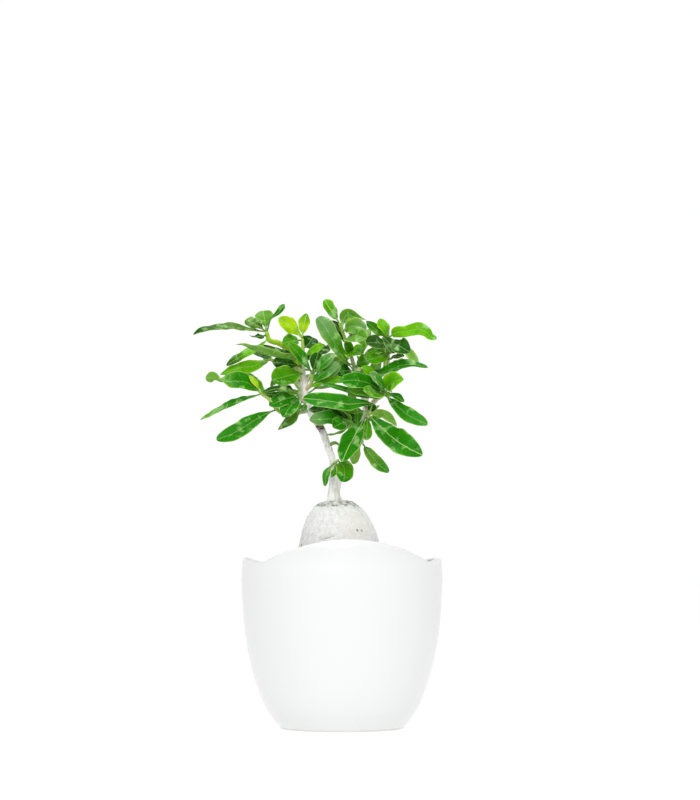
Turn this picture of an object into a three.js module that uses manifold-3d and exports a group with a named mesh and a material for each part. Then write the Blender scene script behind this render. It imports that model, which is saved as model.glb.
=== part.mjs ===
// Fockea edulis, a caudex plant grown as a small bonsai, in a white ceramic pot with a scalloped rim.
// Millimetres, +Z up. The origin is the middle of the pot's flat base, and -Y is the front.
import * as THREE from 'three';
import { mergeVertices } from 'three/addons/utils/BufferGeometryUtils.js';
import Module from 'manifold-3d';

const wasm = await Module();
wasm.setup();

// Pot
const POT_RADIUS = 55.4;
const POT_FOOT_RADIUS = 33;
const POT_WALL = 4;
const POT_FLOOR = 6;
const RIM_VALLEY = 91;
const STRAIGHT_FROM = 82;
const POT_SIDES = 40;
const LOBE_RISE = 12.1;
const SIDE_LOBE_RISE = 2.7;
const LOBE_TURN = 6;
const LOBE_REACH = 57;
const RIM_LEAN = 0.0085;
const DRAIN_HOLE_RADIUS = 3.5;
const DRAIN_CIRCLE_RADIUS = 15;

// Soil and caudex
const SOIL_TOP = 80;
const SOIL_MOUND = 4;
const SOIL_RIPPLE = 0.8;
const SOIL_GAP = 0.4;
const SEAT = 0.3;
const CAUDEX_X = -1.5;
const CAUDEX_LEAN = -2.6;
const CAUDEX_TOP = 125.2;
const TAPROOT_END = 42;
const CAUDEX_SIDES = 28;
const CAUDEX_LUMP = 0.012;

// Leaves
const BLADE = 0.8;
const PETIOLE = 2.6;
const PETIOLE_RADIUS = 0.5;
const WIDEST_AT = 0.6;
const TIP_WIDTH = 0.8;
const EDGE_WAVES = 2.1;
const EDGE_SHIFT = 0.4;
const CURL_FROM = 0.7;
const ROW_SPACING = 6;
const FEWEST_ROWS = 3;
const MOST_ROWS = 6;

const DEGREE = Math.PI / 180;

function material(color, roughness) {
  return new THREE.MeshStandardMaterial({ color, roughness, metalness: 0 });
}

function namedMesh(name, geometry, look) {
  const mesh = new THREE.Mesh(geometry, look);
  mesh.name = name;
  return mesh;
}

// Closed geometry and solids, one made from the other

function solidOf(geometry) {
  const bare = geometry.clone();
  bare.deleteAttribute('normal');
  bare.deleteAttribute('uv');
  const merged = mergeVertices(bare, 1e-5);
  const vertProperties = new Float32Array(merged.getAttribute('position').array);
  const triVerts = new Uint32Array(merged.index.array);
  return new wasm.Manifold(new wasm.Mesh({ numProp: 3, vertProperties, triVerts }));
}

function geometryOf(solid) {
  const mesh = solid.getMesh();
  const geometry = new THREE.BufferGeometry();
  geometry.setAttribute('position', new THREE.BufferAttribute(new Float32Array(mesh.vertProperties), 3));
  geometry.setIndex(new THREE.BufferAttribute(new Uint32Array(mesh.triVerts), 1));
  geometry.computeVertexNormals();
  return geometry;
}

function joined(geometries) {
  return geometries.map(solidOf).reduce((whole, next) => whole.add(next));
}

function moveVertices(geometry, place) {
  const position = geometry.getAttribute('position');
  const point = new THREE.Vector3();
  for (let i = 0; i < position.count; i += 1) {
    point.fromBufferAttribute(position, i);
    place(point);
    position.setXYZ(i, point.x, point.y, point.z);
  }
  return geometry;
}

// A shape turned about Z from an outline of [radius, height] that starts and ends on the axis
function turned(outline, segments) {
  const points = outline.map(([radius, height]) => new THREE.Vector2(radius, height));
  return new THREE.LatheGeometry(points, segments).rotateX(Math.PI / 2);
}

// A round branch that tapers along a smooth curve through its points
function branch(points, radii, sides = 8, stepsPerSpan = 2) {
  const curve = new THREE.CatmullRomCurve3(points);
  const steps = (points.length - 1) * stepsPerSpan;
  const rod = new THREE.CylinderGeometry(1, 1, 1, sides, steps);
  const side = new THREE.Vector3();
  const front = new THREE.Vector3();
  return moveVertices(rod, (point) => {
    const t = point.y + 0.5;
    const span = Math.min(Math.floor(t * (radii.length - 1)), radii.length - 2);
    const within = t * (radii.length - 1) - span;
    const radius = THREE.MathUtils.lerp(radii[span], radii[span + 1], within);
    const along = curve.getTangent(t);
    side.set(1, 0, 0).addScaledVector(along, -along.x).normalize();
    front.crossVectors(side, along);
    const { x, z } = point;
    point.copy(curve.getPoint(t)).addScaledVector(side, x * radius).addScaledVector(front, z * radius);
  });
}

// Pot: a turned shell whose rim rises in a wide lobe at the front and the back, and a low one at each side

function rimHeight(angle) {
  const fromFront = Math.abs(Math.atan(Math.tan(angle - LOBE_TURN * DEGREE))) / DEGREE;
  const lobe = Math.cos(Math.min(fromFront / LOBE_REACH, 1) * Math.PI / 2) * LOBE_RISE;
  const fromSide = (90 - fromFront) / (90 - LOBE_REACH);
  const sideLobe = Math.cos(Math.min(fromSide, 1) * Math.PI / 2) * SIDE_LOBE_RISE;
  return RIM_VALLEY + lobe + sideLobe;
}

// Inner wall and floor from the soil's surface down, which the soil follows
const POT_INSIDE = [[51.4, 82], [50.4, 64], [47.2, 40], [41.4, 18], [34, POT_FLOOR + 2], [28, POT_FLOOR]];

function potOutline() {
  const outside = new THREE.SplineCurve([
    new THREE.Vector2(POT_FOOT_RADIUS + 1.5, 1.2),
    new THREE.Vector2(38, 5.5),
    new THREE.Vector2(42.6, 12.3),
    new THREE.Vector2(49.8, 33),
    new THREE.Vector2(53.6, 54),
    new THREE.Vector2(POT_RADIUS, STRAIGHT_FROM),
  ]).getPoints(8).map((p) => [p.x, p.y]);
  const middle = POT_RADIUS - POT_WALL / 2;
  const lip = [0, 45, 90, 135, 180].map((turn) => [
    middle + Math.cos(turn * DEGREE) * POT_WALL / 2,
    RIM_VALLEY - POT_WALL / 2 + Math.sin(turn * DEGREE) * POT_WALL / 2,
  ]);
  return [[0, 0], [POT_FOOT_RADIUS, 0], ...outside, ...lip, ...POT_INSIDE, [0, POT_FLOOR]];
}

function pot() {
  const shell = moveVertices(turned(potOutline(), POT_SIDES), (point) => {
    const radius = Math.hypot(point.x, point.y);
    const angle = Math.atan2(point.x, -point.y);
    const stretch = (rimHeight(angle) - STRAIGHT_FROM) / (RIM_VALLEY - STRAIGHT_FROM);
    const height = Math.max(point.z - STRAIGHT_FROM, 0) * stretch;
    const lean = RIM_LEAN * height ** 2;
    const scale = radius > 0 ? (radius - lean) / radius : 1;
    point.set(point.x * scale, point.y * scale, Math.min(point.z, STRAIGHT_FROM) + height);
  });
  let solid = solidOf(shell);
  for (let k = 0; k < 3; k += 1) {
    const turn = (k * 120 + 90) * DEGREE;
    const drill = new THREE.CylinderGeometry(DRAIN_HOLE_RADIUS, DRAIN_HOLE_RADIUS, POT_FLOOR * 3, 12);
    drill.rotateX(Math.PI / 2);
    drill.translate(Math.cos(turn) * DRAIN_CIRCLE_RADIUS, Math.sin(turn) * DRAIN_CIRCLE_RADIUS, 0);
    solid = solid.subtract(solidOf(drill));
  }
  return geometryOf(solid);
}

// Caudex: a swollen tuber, domed above the soil and narrowing to a taproot in it.
// With grow it is the space that the tuber takes up in the soil, with a gap round it.

function caudex(grow) {
  const outline = new THREE.SplineCurve([
    new THREE.Vector2(0, TAPROOT_END),
    new THREE.Vector2(4.5, 45),
    new THREE.Vector2(10, 52),
    new THREE.Vector2(17, 63),
    new THREE.Vector2(22, 75),
    new THREE.Vector2(24.4, 88),
    new THREE.Vector2(23.6, 97),
    new THREE.Vector2(21.9, 104),
    new THREE.Vector2(19.6, 110),
    new THREE.Vector2(16.3, 116),
    new THREE.Vector2(11.8, 121.3),
    new THREE.Vector2(6.5, 124.4),
    new THREE.Vector2(0, CAUDEX_TOP),
  ]).getPoints(12).map((p) => [p.x, p.y]);
  return moveVertices(turned(outline, CAUDEX_SIDES), (point) => {
    const angle = Math.atan2(point.y, point.x);
    const radius = Math.hypot(point.x, point.y);
    const lumps = 1
      + CAUDEX_LUMP * Math.sin(3 * angle + point.z * 0.05)
      + CAUDEX_LUMP * Math.sin(5 * angle - point.z * 0.11 + 1);
    const wide = radius > 0 ? (radius * lumps + grow) / radius : 1;
    const up = THREE.MathUtils.smoothstep(point.z, RIM_VALLEY, CAUDEX_TOP);
    const drop = radius < 8 && point.z < SOIL_TOP ? grow : 0;
    point.set(
      point.x * wide + CAUDEX_X + CAUDEX_LEAN * up,
      point.y * wide,
      point.z - drop,
    );
  });
}

// Soil: a filling that follows the pot's inside, heaped up round the tuber

function soil() {
  const wall = POT_INSIDE.slice(1).map(([radius, height]) => [radius - SOIL_GAP, height + SEAT]).reverse();
  const outline = [
    [0, POT_FLOOR + SEAT],
    ...wall,
    [50.7, SOIL_TOP - 1],
    [48, SOIL_TOP],
    [38, SOIL_TOP + SOIL_MOUND / 3],
    [29, SOIL_TOP + SOIL_MOUND],
    [0, SOIL_TOP + SOIL_MOUND],
  ];
  const heap = moveVertices(turned(outline, POT_SIDES), (point) => {
    const angle = Math.atan2(point.y, point.x);
    const radius = Math.hypot(point.x, point.y);
    if (point.z > SOIL_TOP && radius > 0) {
      point.z += SOIL_RIPPLE * Math.sin(4 * angle + radius * 0.3);
    }
  });
  return geometryOf(solidOf(heap).subtract(solidOf(caudex(SEAT * 2))));
}

// Trunk: the main stem leans left above a low fork, and the second stem rises to the right

const TRUNK_BRANCHES = [
  {
    name: 'main stem',
    points: [[-4.3, 0, 125.6], [-4.7, 0, 133], [-4.9, -0.5, 142], [-5.2, -1, 148], [-7.4, -1.5, 154.8],
      [-10.6, -2, 162.8], [-13.8, -2.5, 168.3], [-18, -2, 174.3], [-20, -1, 181.8], [-20.6, 0, 188.8],
      [-21.2, 0, 194.8]],
    radii: [3.7, 2.7, 2.1, 1.9, 2, 2, 2.2, 1.8, 1.7, 1.7, 1.3],
  },
  {
    name: 'second stem',
    points: [[-3.6, 1.2, 128], [-1.4, 2, 138], [1.5, 1, 148], [6.5, -2, 157.8], [11.5, -4, 167.8],
      [14.4, -4, 174.8], [18, -2, 180.3]],
    radii: [2.2, 1.9, 1.7, 1.7, 1.9, 1.7, 1.4],
  },
  {
    name: 'upper right branch',
    points: [[17.6, -2.4, 179.4], [22.4, 0.5, 185.8], [25.2, 3, 194.3]],
    radii: [1.4, 1.2, 1.1],
  },
  {
    name: 'upper middle branch',
    points: [[14.2, -4, 174.4], [10.6, -1, 185.8], [7.5, 0.8, 195.8]],
    radii: [1.4, 1.3, 1.2],
  },
  {
    name: 'back left branch',
    points: [[-9.6, -2, 160.8], [-13, 8, 170], [-18, 15, 178]],
    radii: [1.6, 1.3, 1.1],
  },
  {
    name: 'back right branch',
    points: [[5.6, -1.4, 156.2], [10, 8, 168], [13, 15, 178]],
    radii: [1.5, 1.3, 1.1],
  },
];

// The wood, or with grow the space that it takes up with a gap round it
function trunkSolid(grow) {
  return joined(TRUNK_BRANCHES.map((part) => {
    const points = part.points.map((p) => new THREE.Vector3(...p));
    const end = points[points.length - 1];
    const before = points[points.length - 2];
    end.addScaledVector(end.clone().sub(before).normalize(), grow);
    return branch(points, part.radii.map((radius) => radius + grow));
  }));
}

// Leaves: a blade with a petiole, widest past its middle. Its face is the way that its upper side looks,
// bow lifts its middle, curl drops its tip, fold raises its edges in degrees, wave is the height of the
// ripples along its edges, phase shifts them, and twist turns it about the midrib in degrees.

function leafLine(leaf, root) {
  const reach = new THREE.Vector3(...leaf.tip).sub(root);
  const length = reach.length();
  const along = reach.clone().normalize();
  const up = new THREE.Vector3(...leaf.face);
  up.addScaledVector(along, -up.dot(along)).normalize();
  return (t) => {
    const lift = 4 * leaf.bow * t * (1 - t) - leaf.curl * 8 * Math.max(0, t - CURL_FROM) ** 2;
    return root.clone().addScaledVector(reach, t).addScaledVector(up, lift * length);
  };
}

// Half of the blade's width at u, from 0 at the end of the petiole to 1 at the tip
function leafHalfWidth(u, width) {
  const shape = ((u / WIDEST_AT) ** 0.72) * (((1 - u) / (1 - WIDEST_AT)) ** 0.48);
  return Math.max(width * shape, TIP_WIDTH) / 2;
}

function leafBlade(leaf, root) {
  const line = leafLine(leaf, root);
  const length = root.distanceTo(new THREE.Vector3(...leaf.tip));
  const blade0 = Math.min(PETIOLE / length, 0.3);
  const rows = [0, blade0];
  const bladeRows = THREE.MathUtils.clamp(Math.round(length / ROW_SPACING), FEWEST_ROWS, MOST_ROWS);
  for (let k = 1; k <= bladeRows; k += 1) {
    const even = k / bladeRows;
    const u = (even + Math.sin(even * Math.PI / 2)) / 2;
    rows.push(blade0 + (1 - blade0) * u);
  }
  const upward = new THREE.Vector3(...leaf.face);
  const positions = [];
  rows.forEach((t, row) => {
    const centre = line(t);
    const along = line(Math.min(t + 0.01, 1.01)).sub(line(t - 0.01)).normalize();
    const side = new THREE.Vector3().crossVectors(along, upward).normalize();
    side.applyAxisAngle(along, leaf.twist * DEGREE * t);
    const normal = new THREE.Vector3().crossVectors(side, along);
    const u = (t - blade0) / (1 - blade0);
    const half = row < 2 ? PETIOLE_RADIUS : leafHalfWidth(u, leaf.width);
    const opened = row < 2 ? 0 : Math.sin(Math.PI * u) ** 0.5;
    const ripple = leaf.wave * opened;
    const fold = leaf.fold * DEGREE;
    [1, -1].forEach((face) => {
      [-1, 0, 1].forEach((across) => {
        const phase = 2 * Math.PI * (EDGE_WAVES * u + leaf.phase + (across > 0 ? EDGE_SHIFT : 0));
        const lift = across === 0 ? 0 : Math.sin(fold) * half + ripple * Math.sin(phase);
        const point = centre.clone()
          .addScaledVector(side, across * half * Math.cos(fold))
          .addScaledVector(normal, lift + face * BLADE / 2);
        positions.push(point.x, point.y, point.z);
      });
    });
  });
  // In each row 0, 1, 2 are the upper points from edge to edge, and 3, 4, 5 the lower ones
  const index = [];
  const last = rows.length - 1;
  const quad = (a, b, c, d) => index.push(a, b, c, a, c, d);
  for (let row = 0; row < last; row += 1) {
    const here = row * 6;
    const next = here + 6;
    for (let k = 0; k < 2; k += 1) {
      quad(here + k, here + k + 1, next + k + 1, next + k);
      index.push(here + 3 + k, next + 4 + k, here + 4 + k, here + 3 + k, next + 3 + k, next + 4 + k);
    }
    quad(here, next, next + 3, here + 3);
    quad(here + 2, here + 5, next + 5, next + 2);
  }
  const cap = (o, flip) => {
    const faces = [[0, 3, 4], [0, 4, 1], [1, 4, 5], [1, 5, 2]];
    faces.forEach(([a, b, c]) => (flip ? index.push(o + a, o + c, o + b) : index.push(o + a, o + b, o + c)));
  };
  cap(0, false);
  cap(last * 6, true);
  const geometry = new THREE.BufferGeometry();
  geometry.setAttribute('position', new THREE.Float32BufferAttribute(positions, 3));
  geometry.setIndex(index);
  return geometry;
}

// A leaf of a shoot: at is its place along the shoot's stem, from 0 to 1, and tip the point where it ends
function leaf(at, tip, width, face, form = {}) {
  return { at, tip, width, face, bow: 0.06, fold: 12, wave: 0.35, phase: 0, twist: 0, curl: 0, ...form };
}

function stemPoints(stem) {
  return stem.map((p) => new THREE.Vector3(...p));
}

// A leaf's root lies on the axis of its twig, inside the wood
function leafRoot(stem, at) {
  return new THREE.CatmullRomCurve3(stemPoints(stem)).getPoint(Math.min(at, 0.985));
}

// A repeatable draw between -1 and 1
function vary(seed) {
  const wide = Math.sin(seed * 12.9898) * 43758.5453;
  return (wide - Math.floor(wide)) * 2 - 1;
}

// Opposite leaves in pairs, each pair a quarter turn from the last, as they grow on a shoot that is not seen
const PAIRS = 3;
const PAIR_STEP = 0.3;
const PAIR_SPREAD = [62, 48, 34];

function pairedLeaves(stem, length, seed) {
  const points = stemPoints(stem);
  const upward = new THREE.Vector3(0, 0, 1);
  const along = points[points.length - 1].clone().sub(points[0]).normalize();
  const level = new THREE.Vector3().crossVectors(along, upward).normalize();
  const face = along.clone().add(upward).toArray();
  const leaves = [];
  for (let pair = 0; pair < PAIRS; pair += 1) {
    const at = 1 - (PAIRS - 1 - pair) * PAIR_STEP;
    for (let half = 0; half < 2; half += 1) {
      const draw = seed + pair * 2 + half;
      const turn = pair * 90 + half * 180 + 25 * vary(draw);
      const outward = level.clone().applyAxisAngle(along, turn * DEGREE);
      const spread = PAIR_SPREAD[pair] + 8 * vary(draw + 0.3);
      const reach = along.clone().multiplyScalar(Math.cos(spread * DEGREE));
      reach.addScaledVector(outward, Math.sin(spread * DEGREE));
      reach.multiplyScalar(length * (1 - 0.1 * pair + 0.12 * vary(draw + 0.6)));
      const tip = leafRoot(stem, at).add(reach).toArray();
      const width = length * (0.3 + 0.04 * vary(draw + 0.9));
      leaves.push(leaf(at, tip, width, face, { bow: 0.08, wave: 0.4, phase: vary(draw) }));
    }
  }
  return leaves;
}

const SHOOTS = [
  {
    name: 'shoot_upper_left',
    radii: [1.3, 1.3, 1],
    stem: [[-20.8, 0.6, 190], [-26.2, 3, 199.5], [-30, 2, 207], [-35.5, 0, 210.6],
      [-40, -2, 212.8], [-41.8, -3, 218.2]],
    leaves: [
      leaf(1, [-81.5, -8, 217], 8.5, [0, -4, 8], { bow: 0.08, curl: 0.06, fold: 14 }),
      leaf(0.98, [-52.5, 2, 224.5], 7.5, [2, -8, 4], { wave: 0.8 }),
      leaf(1, [-44, 6, 230.5], 10.5, [0, -9, 3], { wave: 0.7 }),
      leaf(0.97, [-32, -7, 233.5], 5.6, [-7, -5, 5], { twist: 110 }),
      leaf(0.92, [-46.5, -9, 215], 3.2, [0, -6, 7]),
      leaf(0.84, [-63.5, -12, 199.5], 6.6, [-2, -8, 6], { twist: 50, bow: 0.1 }),
    ],
  },
  {
    name: 'shoot_left_upper',
    radii: [1.1, 0.9],
    stem: [[-20.5, 0, 186.6], [-27.5, 0.4, 193], [-34, 0, 199.5], [-40, -2, 203.4]],
    leaves: [
      leaf(1, [-67.5, -10, 193], 8.8, [-2, -7, 7], { bow: 0.02 }),
      leaf(0.95, [-44.5, -7, 199.5], 3, [0, -6, 6]),
      leaf(0.7, [-52.5, 16, 208], 7, [0, -5, 9]),
      leaf(0.65, [-28, 18, 211.5], 8, [0, -3, 9]),
    ],
  },
  {
    name: 'shoot_left',
    radii: [1.2, 1.1, 0.8],
    stem: [[-18.2, -2, 174.6], [-27.6, -7.6, 172.8], [-34, -11, 173.6], [-38.4, -14, 175.5],
      [-41.5, -16, 179.8], [-44.8, -17, 183]],
    leaves: [
      leaf(1, [-74, -24, 192.5], 11.6, [-2, -8, 4], { curl: -0.12, bow: 0.05 }),
      leaf(0.97, [-50.5, -22, 192.5], 4.4, [4, -8, 3]),
      leaf(0.99, [-78, -14, 168.5], 6.4, [-1, -4, 8], { bow: 0.04 }),
      leaf(0.5, [-68, -26, 158], 10.8, [-3, -8, 4], { wave: 0.3, bow: -0.08 }),
      leaf(0.75, [-58.5, 6, 196], 9, [0, -5, 9]),
      leaf(0.3, [-33, 18, 180], 7, [-2, -6, 7]),
    ],
  },
  {
    name: 'shoot_centre_left',
    radii: [1.1, 0.8],
    stem: [[-21.2, 0, 194.2], [-21.5, -1, 203.5], [-21.6, -3, 209.5], [-22, -5, 214.6]],
    leaves: [
      leaf(0.3, [-58, -22, 209.5], 7.6, [0, 5, 7], { curl: 0.1, bow: 0 }),
      leaf(1, [-34.5, -9, 225], 7.8, [4, -8, 3]),
      leaf(1, [-19.5, -8, 227.5], 7, [-5, -8, 0]),
      leaf(0.75, [-32.5, -15, 212.5], 9, [-2, -5, 8]),
      leaf(0.6, [-16, 7, 215], 9, [2, -8, 5]),
      leaf(0.35, [-9.5, -10, 210.5], 5, [-3, -7, 6]),
      leaf(0.4, [-6.5, 4, 209.5], 6, [0, -6, 8]),
      leaf(0.04, [-38, -11.5, 192], 12, [2, -9, 4], { wave: 0.6 }),
      leaf(0.15, [-38.5, -4, 201], 7, [0, -6, 7]),
    ],
  },
  {
    name: 'shoot_left_middle',
    radii: [1.2, 0.9],
    stem: [[-19.6, -1.4, 178.4], [-23, -5.4, 181.4], [-24, -9, 184.6]],
    leaves: [
      leaf(1, [-40.5, -20, 184.5], 8.6, [0, -8, 5]),
      leaf(0.7, [-39.5, -17, 176.5], 8.6, [-2, -8, 5], { wave: 0.7 }),
      leaf(0.6, [-31.5, -21, 170.5], 11, [-3, -9, 4]),
      leaf(0.3, [-35, -15, 164], 7.6, [5, -8, -1], { fold: 32 }),
      leaf(0.9, [-44, -5, 183.5], 6, [0, 2, 9]),
    ],
  },
  {
    name: 'shoot_middle',
    radii: [1.1, 0.9],
    stem: [[-20.3, -0.4, 185.6], [-17, -4.4, 189.6], [-16.4, -7.5, 194.6]],
    leaves: [
      leaf(1, [-29, -16, 211], 7, [4, -8, 3]),
      leaf(0.9, [-4, -14, 205], 7.4, [-3, -7, 6]),
      leaf(0.5, [-1.5, -16, 199.5], 9, [-3, -8, 5]),
      leaf(0.95, [-13, -9, 206.5], 8, [0, -9, 2]),
    ],
  },
  {
    name: 'shoot_centre_low',
    radii: [1.1, 0.8],
    stem: [[9.4, -3.2, 163.4], [6.4, -8.4, 166.6], [2, -13, 169.3]],
    leaves: [
      leaf(1, [-18.5, -12, 174.5], 9, [0, -6, 8]),
      leaf(0.9, [-17.5, -20, 168], 8.6, [0, -7, 7], { wave: 0.7 }),
      leaf(0.8, [-5, -22, 164.5], 9, [2, -8, 4]),
      leaf(0.6, [-1, -18, 174.5], 8, [0, -5, 8]),
      leaf(0.5, [-4, -14, 166.5], 7, [-1, -7, 5]),
    ],
  },
  {
    name: 'shoot_front_right',
    radii: [1.2, 0.9],
    stem: [[12.8, -4, 170.6], [13.8, -10.4, 171.8], [15.4, -16, 173.6]],
    leaves: [
      leaf(0.6, [44.5, -26, 149], 15, [2, -9, 3], { bow: -0.025, wave: 0.3 }),
      leaf(0.5, [30, -2, 166.5], 8, [1, -8, 5]),
      leaf(0.3, [0, -26, 145.5], 12.8, [-3, -9, 2], { bow: 0.04 }),
      leaf(0.4, [14, -15, 158], 6.5, [4, -8, 0]),
      leaf(1, [-21.5, -20, 180.5], 10, [0, -8, 5], { bow: 0.02, wave: 0.5 }),
      leaf(0.9, [17.5, -28, 177], 8, [0, -6, 8]),
    ],
  },
  {
    name: 'shoot_front_right_low',
    radii: [1, 0.8],
    stem: [[8.9, -3, 162], [10.8, -6.6, 159.6], [11.2, -7.6, 156.3]],
    leaves: [
      leaf(1, [26, -13, 140.5], 9, [4, -9, 3], { bow: -0.08 }),
      leaf(0.8, [6.5, -4, 145.5], 7.5, [-2, -9, 1]),
    ],
  },
  {
    name: 'shoot_right',
    radii: [1.1, 0.9],
    stem: [[18, -2.2, 180.2], [21.8, -7.4, 182.2], [23.8, -13, 184]],
    leaves: [
      leaf(0.95, [-0.5, -26, 189.5], 11, [2, -6, 7], { bow: 0.06 }),
      leaf(0.7, [11.5, -30, 182], 10.6, [2, -6, 7], { fold: 22 }),
      leaf(1, [33.5, -26, 190.5], 10.4, [-2, -7, 7]),
      leaf(0.9, [34, -17, 179], 3.8, [3, -8, 2]),
      leaf(0.8, [46.5, -20, 165.5], 10, [3, -8, 4], { bow: -0.075 }),
      leaf(0.98, [16.5, -28, 192.5], 9, [2, -8, 5]),
      leaf(0.2, [-13.5, -14, 189], 8, [0, -8, 5], { bow: -0.05 }),
      leaf(0.97, [10, -18, 198], 9, [4, -8, 4]),
      leaf(0.9, [-4, -18, 195.5], 8, [0, -7, 7]),
    ],
  },
  {
    name: 'shoot_upper_right',
    radii: [1.1, 0.8],
    stem: [[25.1, 2.9, 193.6], [25.5, 0, 203.5], [25.5, -4, 209.5], [25.6, -8, 214.8]],
    leaves: [
      leaf(1, [13, -14, 222.5], 9, [2, -8, 4], { wave: 1 }),
      leaf(1, [51.5, -16, 214.5], 10.4, [0, -8, 6], { bow: 0.19, wave: 0.9 }),
      leaf(0.8, [22, -24, 207], 9, [-1, -7, 7]),
      leaf(0.85, [37, -22, 205], 11.6, [2, -8, 5], { wave: 0.6 }),
      leaf(0.75, [14.5, -22, 210.5], 10.6, [0, -8, 6]),
      leaf(0.5, [12, -12, 203], 7, [0, -2, 9]),
      leaf(0.4, [13.5, -20, 201], 9.6, [0, -7, 7]),
      leaf(0.6, [42.5, 2, 201.5], 8, [1, -8, 5]),
      leaf(0.3, [31, -14, 201], 7, [0, -5, 8]),
    ],
  },
  {
    name: 'shoot_top',
    radii: [1.2, 1, 0.8],
    stem: [[7.7, 0.7, 195], [5.6, 0, 203], [3.3, -2, 209], [1.3, -5, 215], [-2.2, -7, 221.8]],
    leaves: [
      leaf(1, [-9.5, -10, 235], 6.8, [3, -8, 3]),
      leaf(0.97, [13, -10, 226], 12, [0, -6, 7], { fold: 20, bow: 0.1 }),
      leaf(0.85, [13, -17, 217.5], 9, [0, -8, 6]),
      leaf(0.7, [11, -24, 210], 12, [1, -8, 6]),
      leaf(0.45, [11, -16, 201.5], 10, [1, -8, 6]),
      leaf(0.1, [-13.5, -14, 225.5], 10.6, [5, -8, 4], { bow: 0.08, wave: 0.5 }),
      leaf(0.04, [46.5, -18, 197.5], 8, [0, -5, 8], { bow: 0.04, curl: 0.06 }),
      leaf(0.6, [-6.5, 12, 223], 8, [-1, -6, 8]),
    ],
  },
  {
    name: 'shoot_low',
    radii: [1, 0.8],
    stem: [[-5, -0.8, 145], [-3.8, -5, 146], [-2, -8.5, 147]],
    leaves: [
      leaf(0.5, [-9.5, -8, 132.5], 6, [-4, -8, 2], { bow: 0.1 }),
      leaf(0.95, [1, -20, 133.5], 12.4, [1, -9, 3]),
      leaf(0.7, [-6, -10, 137.5], 3.4, [6, -6, 1]),
    ],
  },
];

// Shoots behind the trunk, hidden from the front
const BACK_SHOOTS = [
  { name: 'shoot_back_left', stem: [[-17.6, 14.4, 177.5], [-22, 24, 185], [-26, 33, 191]], length: 24 },
  { name: 'shoot_back_right', stem: [[12.9, 14.5, 177.4], [15, 24, 186], [17, 33, 192]], length: 24 },
  { name: 'shoot_back_top', stem: [[-20.6, 0, 189], [-15, 12, 199], [-12, 24, 207]], length: 22 },
  { name: 'shoot_back_upper', stem: [[8.9, 0.1, 190.6], [10, 13, 202], [12, 26, 210]], length: 22 },
  { name: 'shoot_back_low', stem: [[4.2, -0.8, 153.4], [6, 14, 166], [7, 27, 174]], length: 22 },
  { name: 'shoot_side_left', stem: [[-20, -0.8, 181.6], [-27, 12, 192], [-32, 24, 199]], length: 20 },
  { name: 'shoot_side_right', stem: [[24.6, 2.4, 190.6], [24, 14, 198], [24, 26, 205]], length: 20 },
].map((plan, k) => ({
  ...plan,
  radii: [1.1, 0.8],
  leaves: pairedLeaves(plan.stem, plan.length, 10 * k + 3),
}));

// The twig starts inside the wood and is cut back to a gap's width from its surface
const TRUNK_SPACE = trunkSolid(SEAT);

function shoot(plan) {
  const stem = branch(stemPoints(plan.stem), plan.radii, 6, 1);
  const blades = plan.leaves.map((item) => leafBlade(item, leafRoot(plan.stem, item.at)));
  return geometryOf(joined([stem, ...blades]).subtract(TRUNK_SPACE));
}

const SHOOT_GREEN = [0x4f8f2a, 0x3f7f24, 0x5f9c30];

const bonsai = new THREE.Group();
bonsai.add(namedMesh('pot', pot(), material(0xf2f2f0, 0.35)));
bonsai.add(namedMesh('soil', soil(), material(0x4a3a2c, 0.95)));
bonsai.add(namedMesh('caudex', geometryOf(solidOf(caudex(0))), material(0xd8d3c6, 0.85)));
bonsai.add(namedMesh('trunk', geometryOf(trunkSolid(0)), material(0xb9b2a4, 0.85)));
[...SHOOTS, ...BACK_SHOOTS].forEach((plan, k) => {
  bonsai.add(namedMesh(plan.name, shoot(plan), material(SHOOT_GREEN[k % SHOOT_GREEN.length], 0.45)));
});

export default bonsai;
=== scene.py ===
# Fockea edulis, a caudex plant grown as a small bonsai in a white pot: the finish of every surface.
# +Z is up and -Y the front. Pieces are sized in millimetres and made metres as each is finished. The
# heights and scales in their materials are in metres, and so is the studio.
import bisect
import math
import random
from dataclasses import dataclass

import bmesh
import bpy
from mathutils import Matrix, Vector, noise


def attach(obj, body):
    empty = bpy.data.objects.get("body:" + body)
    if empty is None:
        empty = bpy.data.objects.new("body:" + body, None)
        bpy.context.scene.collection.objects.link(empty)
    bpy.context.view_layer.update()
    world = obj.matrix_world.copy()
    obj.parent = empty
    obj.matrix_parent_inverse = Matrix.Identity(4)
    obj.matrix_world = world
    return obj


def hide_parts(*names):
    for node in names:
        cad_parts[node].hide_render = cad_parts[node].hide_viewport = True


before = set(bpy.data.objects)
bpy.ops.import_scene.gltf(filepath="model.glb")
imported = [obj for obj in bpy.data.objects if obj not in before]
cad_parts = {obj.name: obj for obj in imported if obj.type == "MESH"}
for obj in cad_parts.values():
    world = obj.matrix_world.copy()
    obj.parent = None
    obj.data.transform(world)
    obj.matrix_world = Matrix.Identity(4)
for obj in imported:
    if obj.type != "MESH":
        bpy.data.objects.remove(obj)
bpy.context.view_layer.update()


# Pot
# One cast shell of white earthenware with a scalloped rim, wide lobes at the front and the back and
# low ones at the sides. It is glazed in gloss white but for the foot, whose bare clay is also painted
# darker as shade where it curves under to the table, and has three drain holes.

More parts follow.
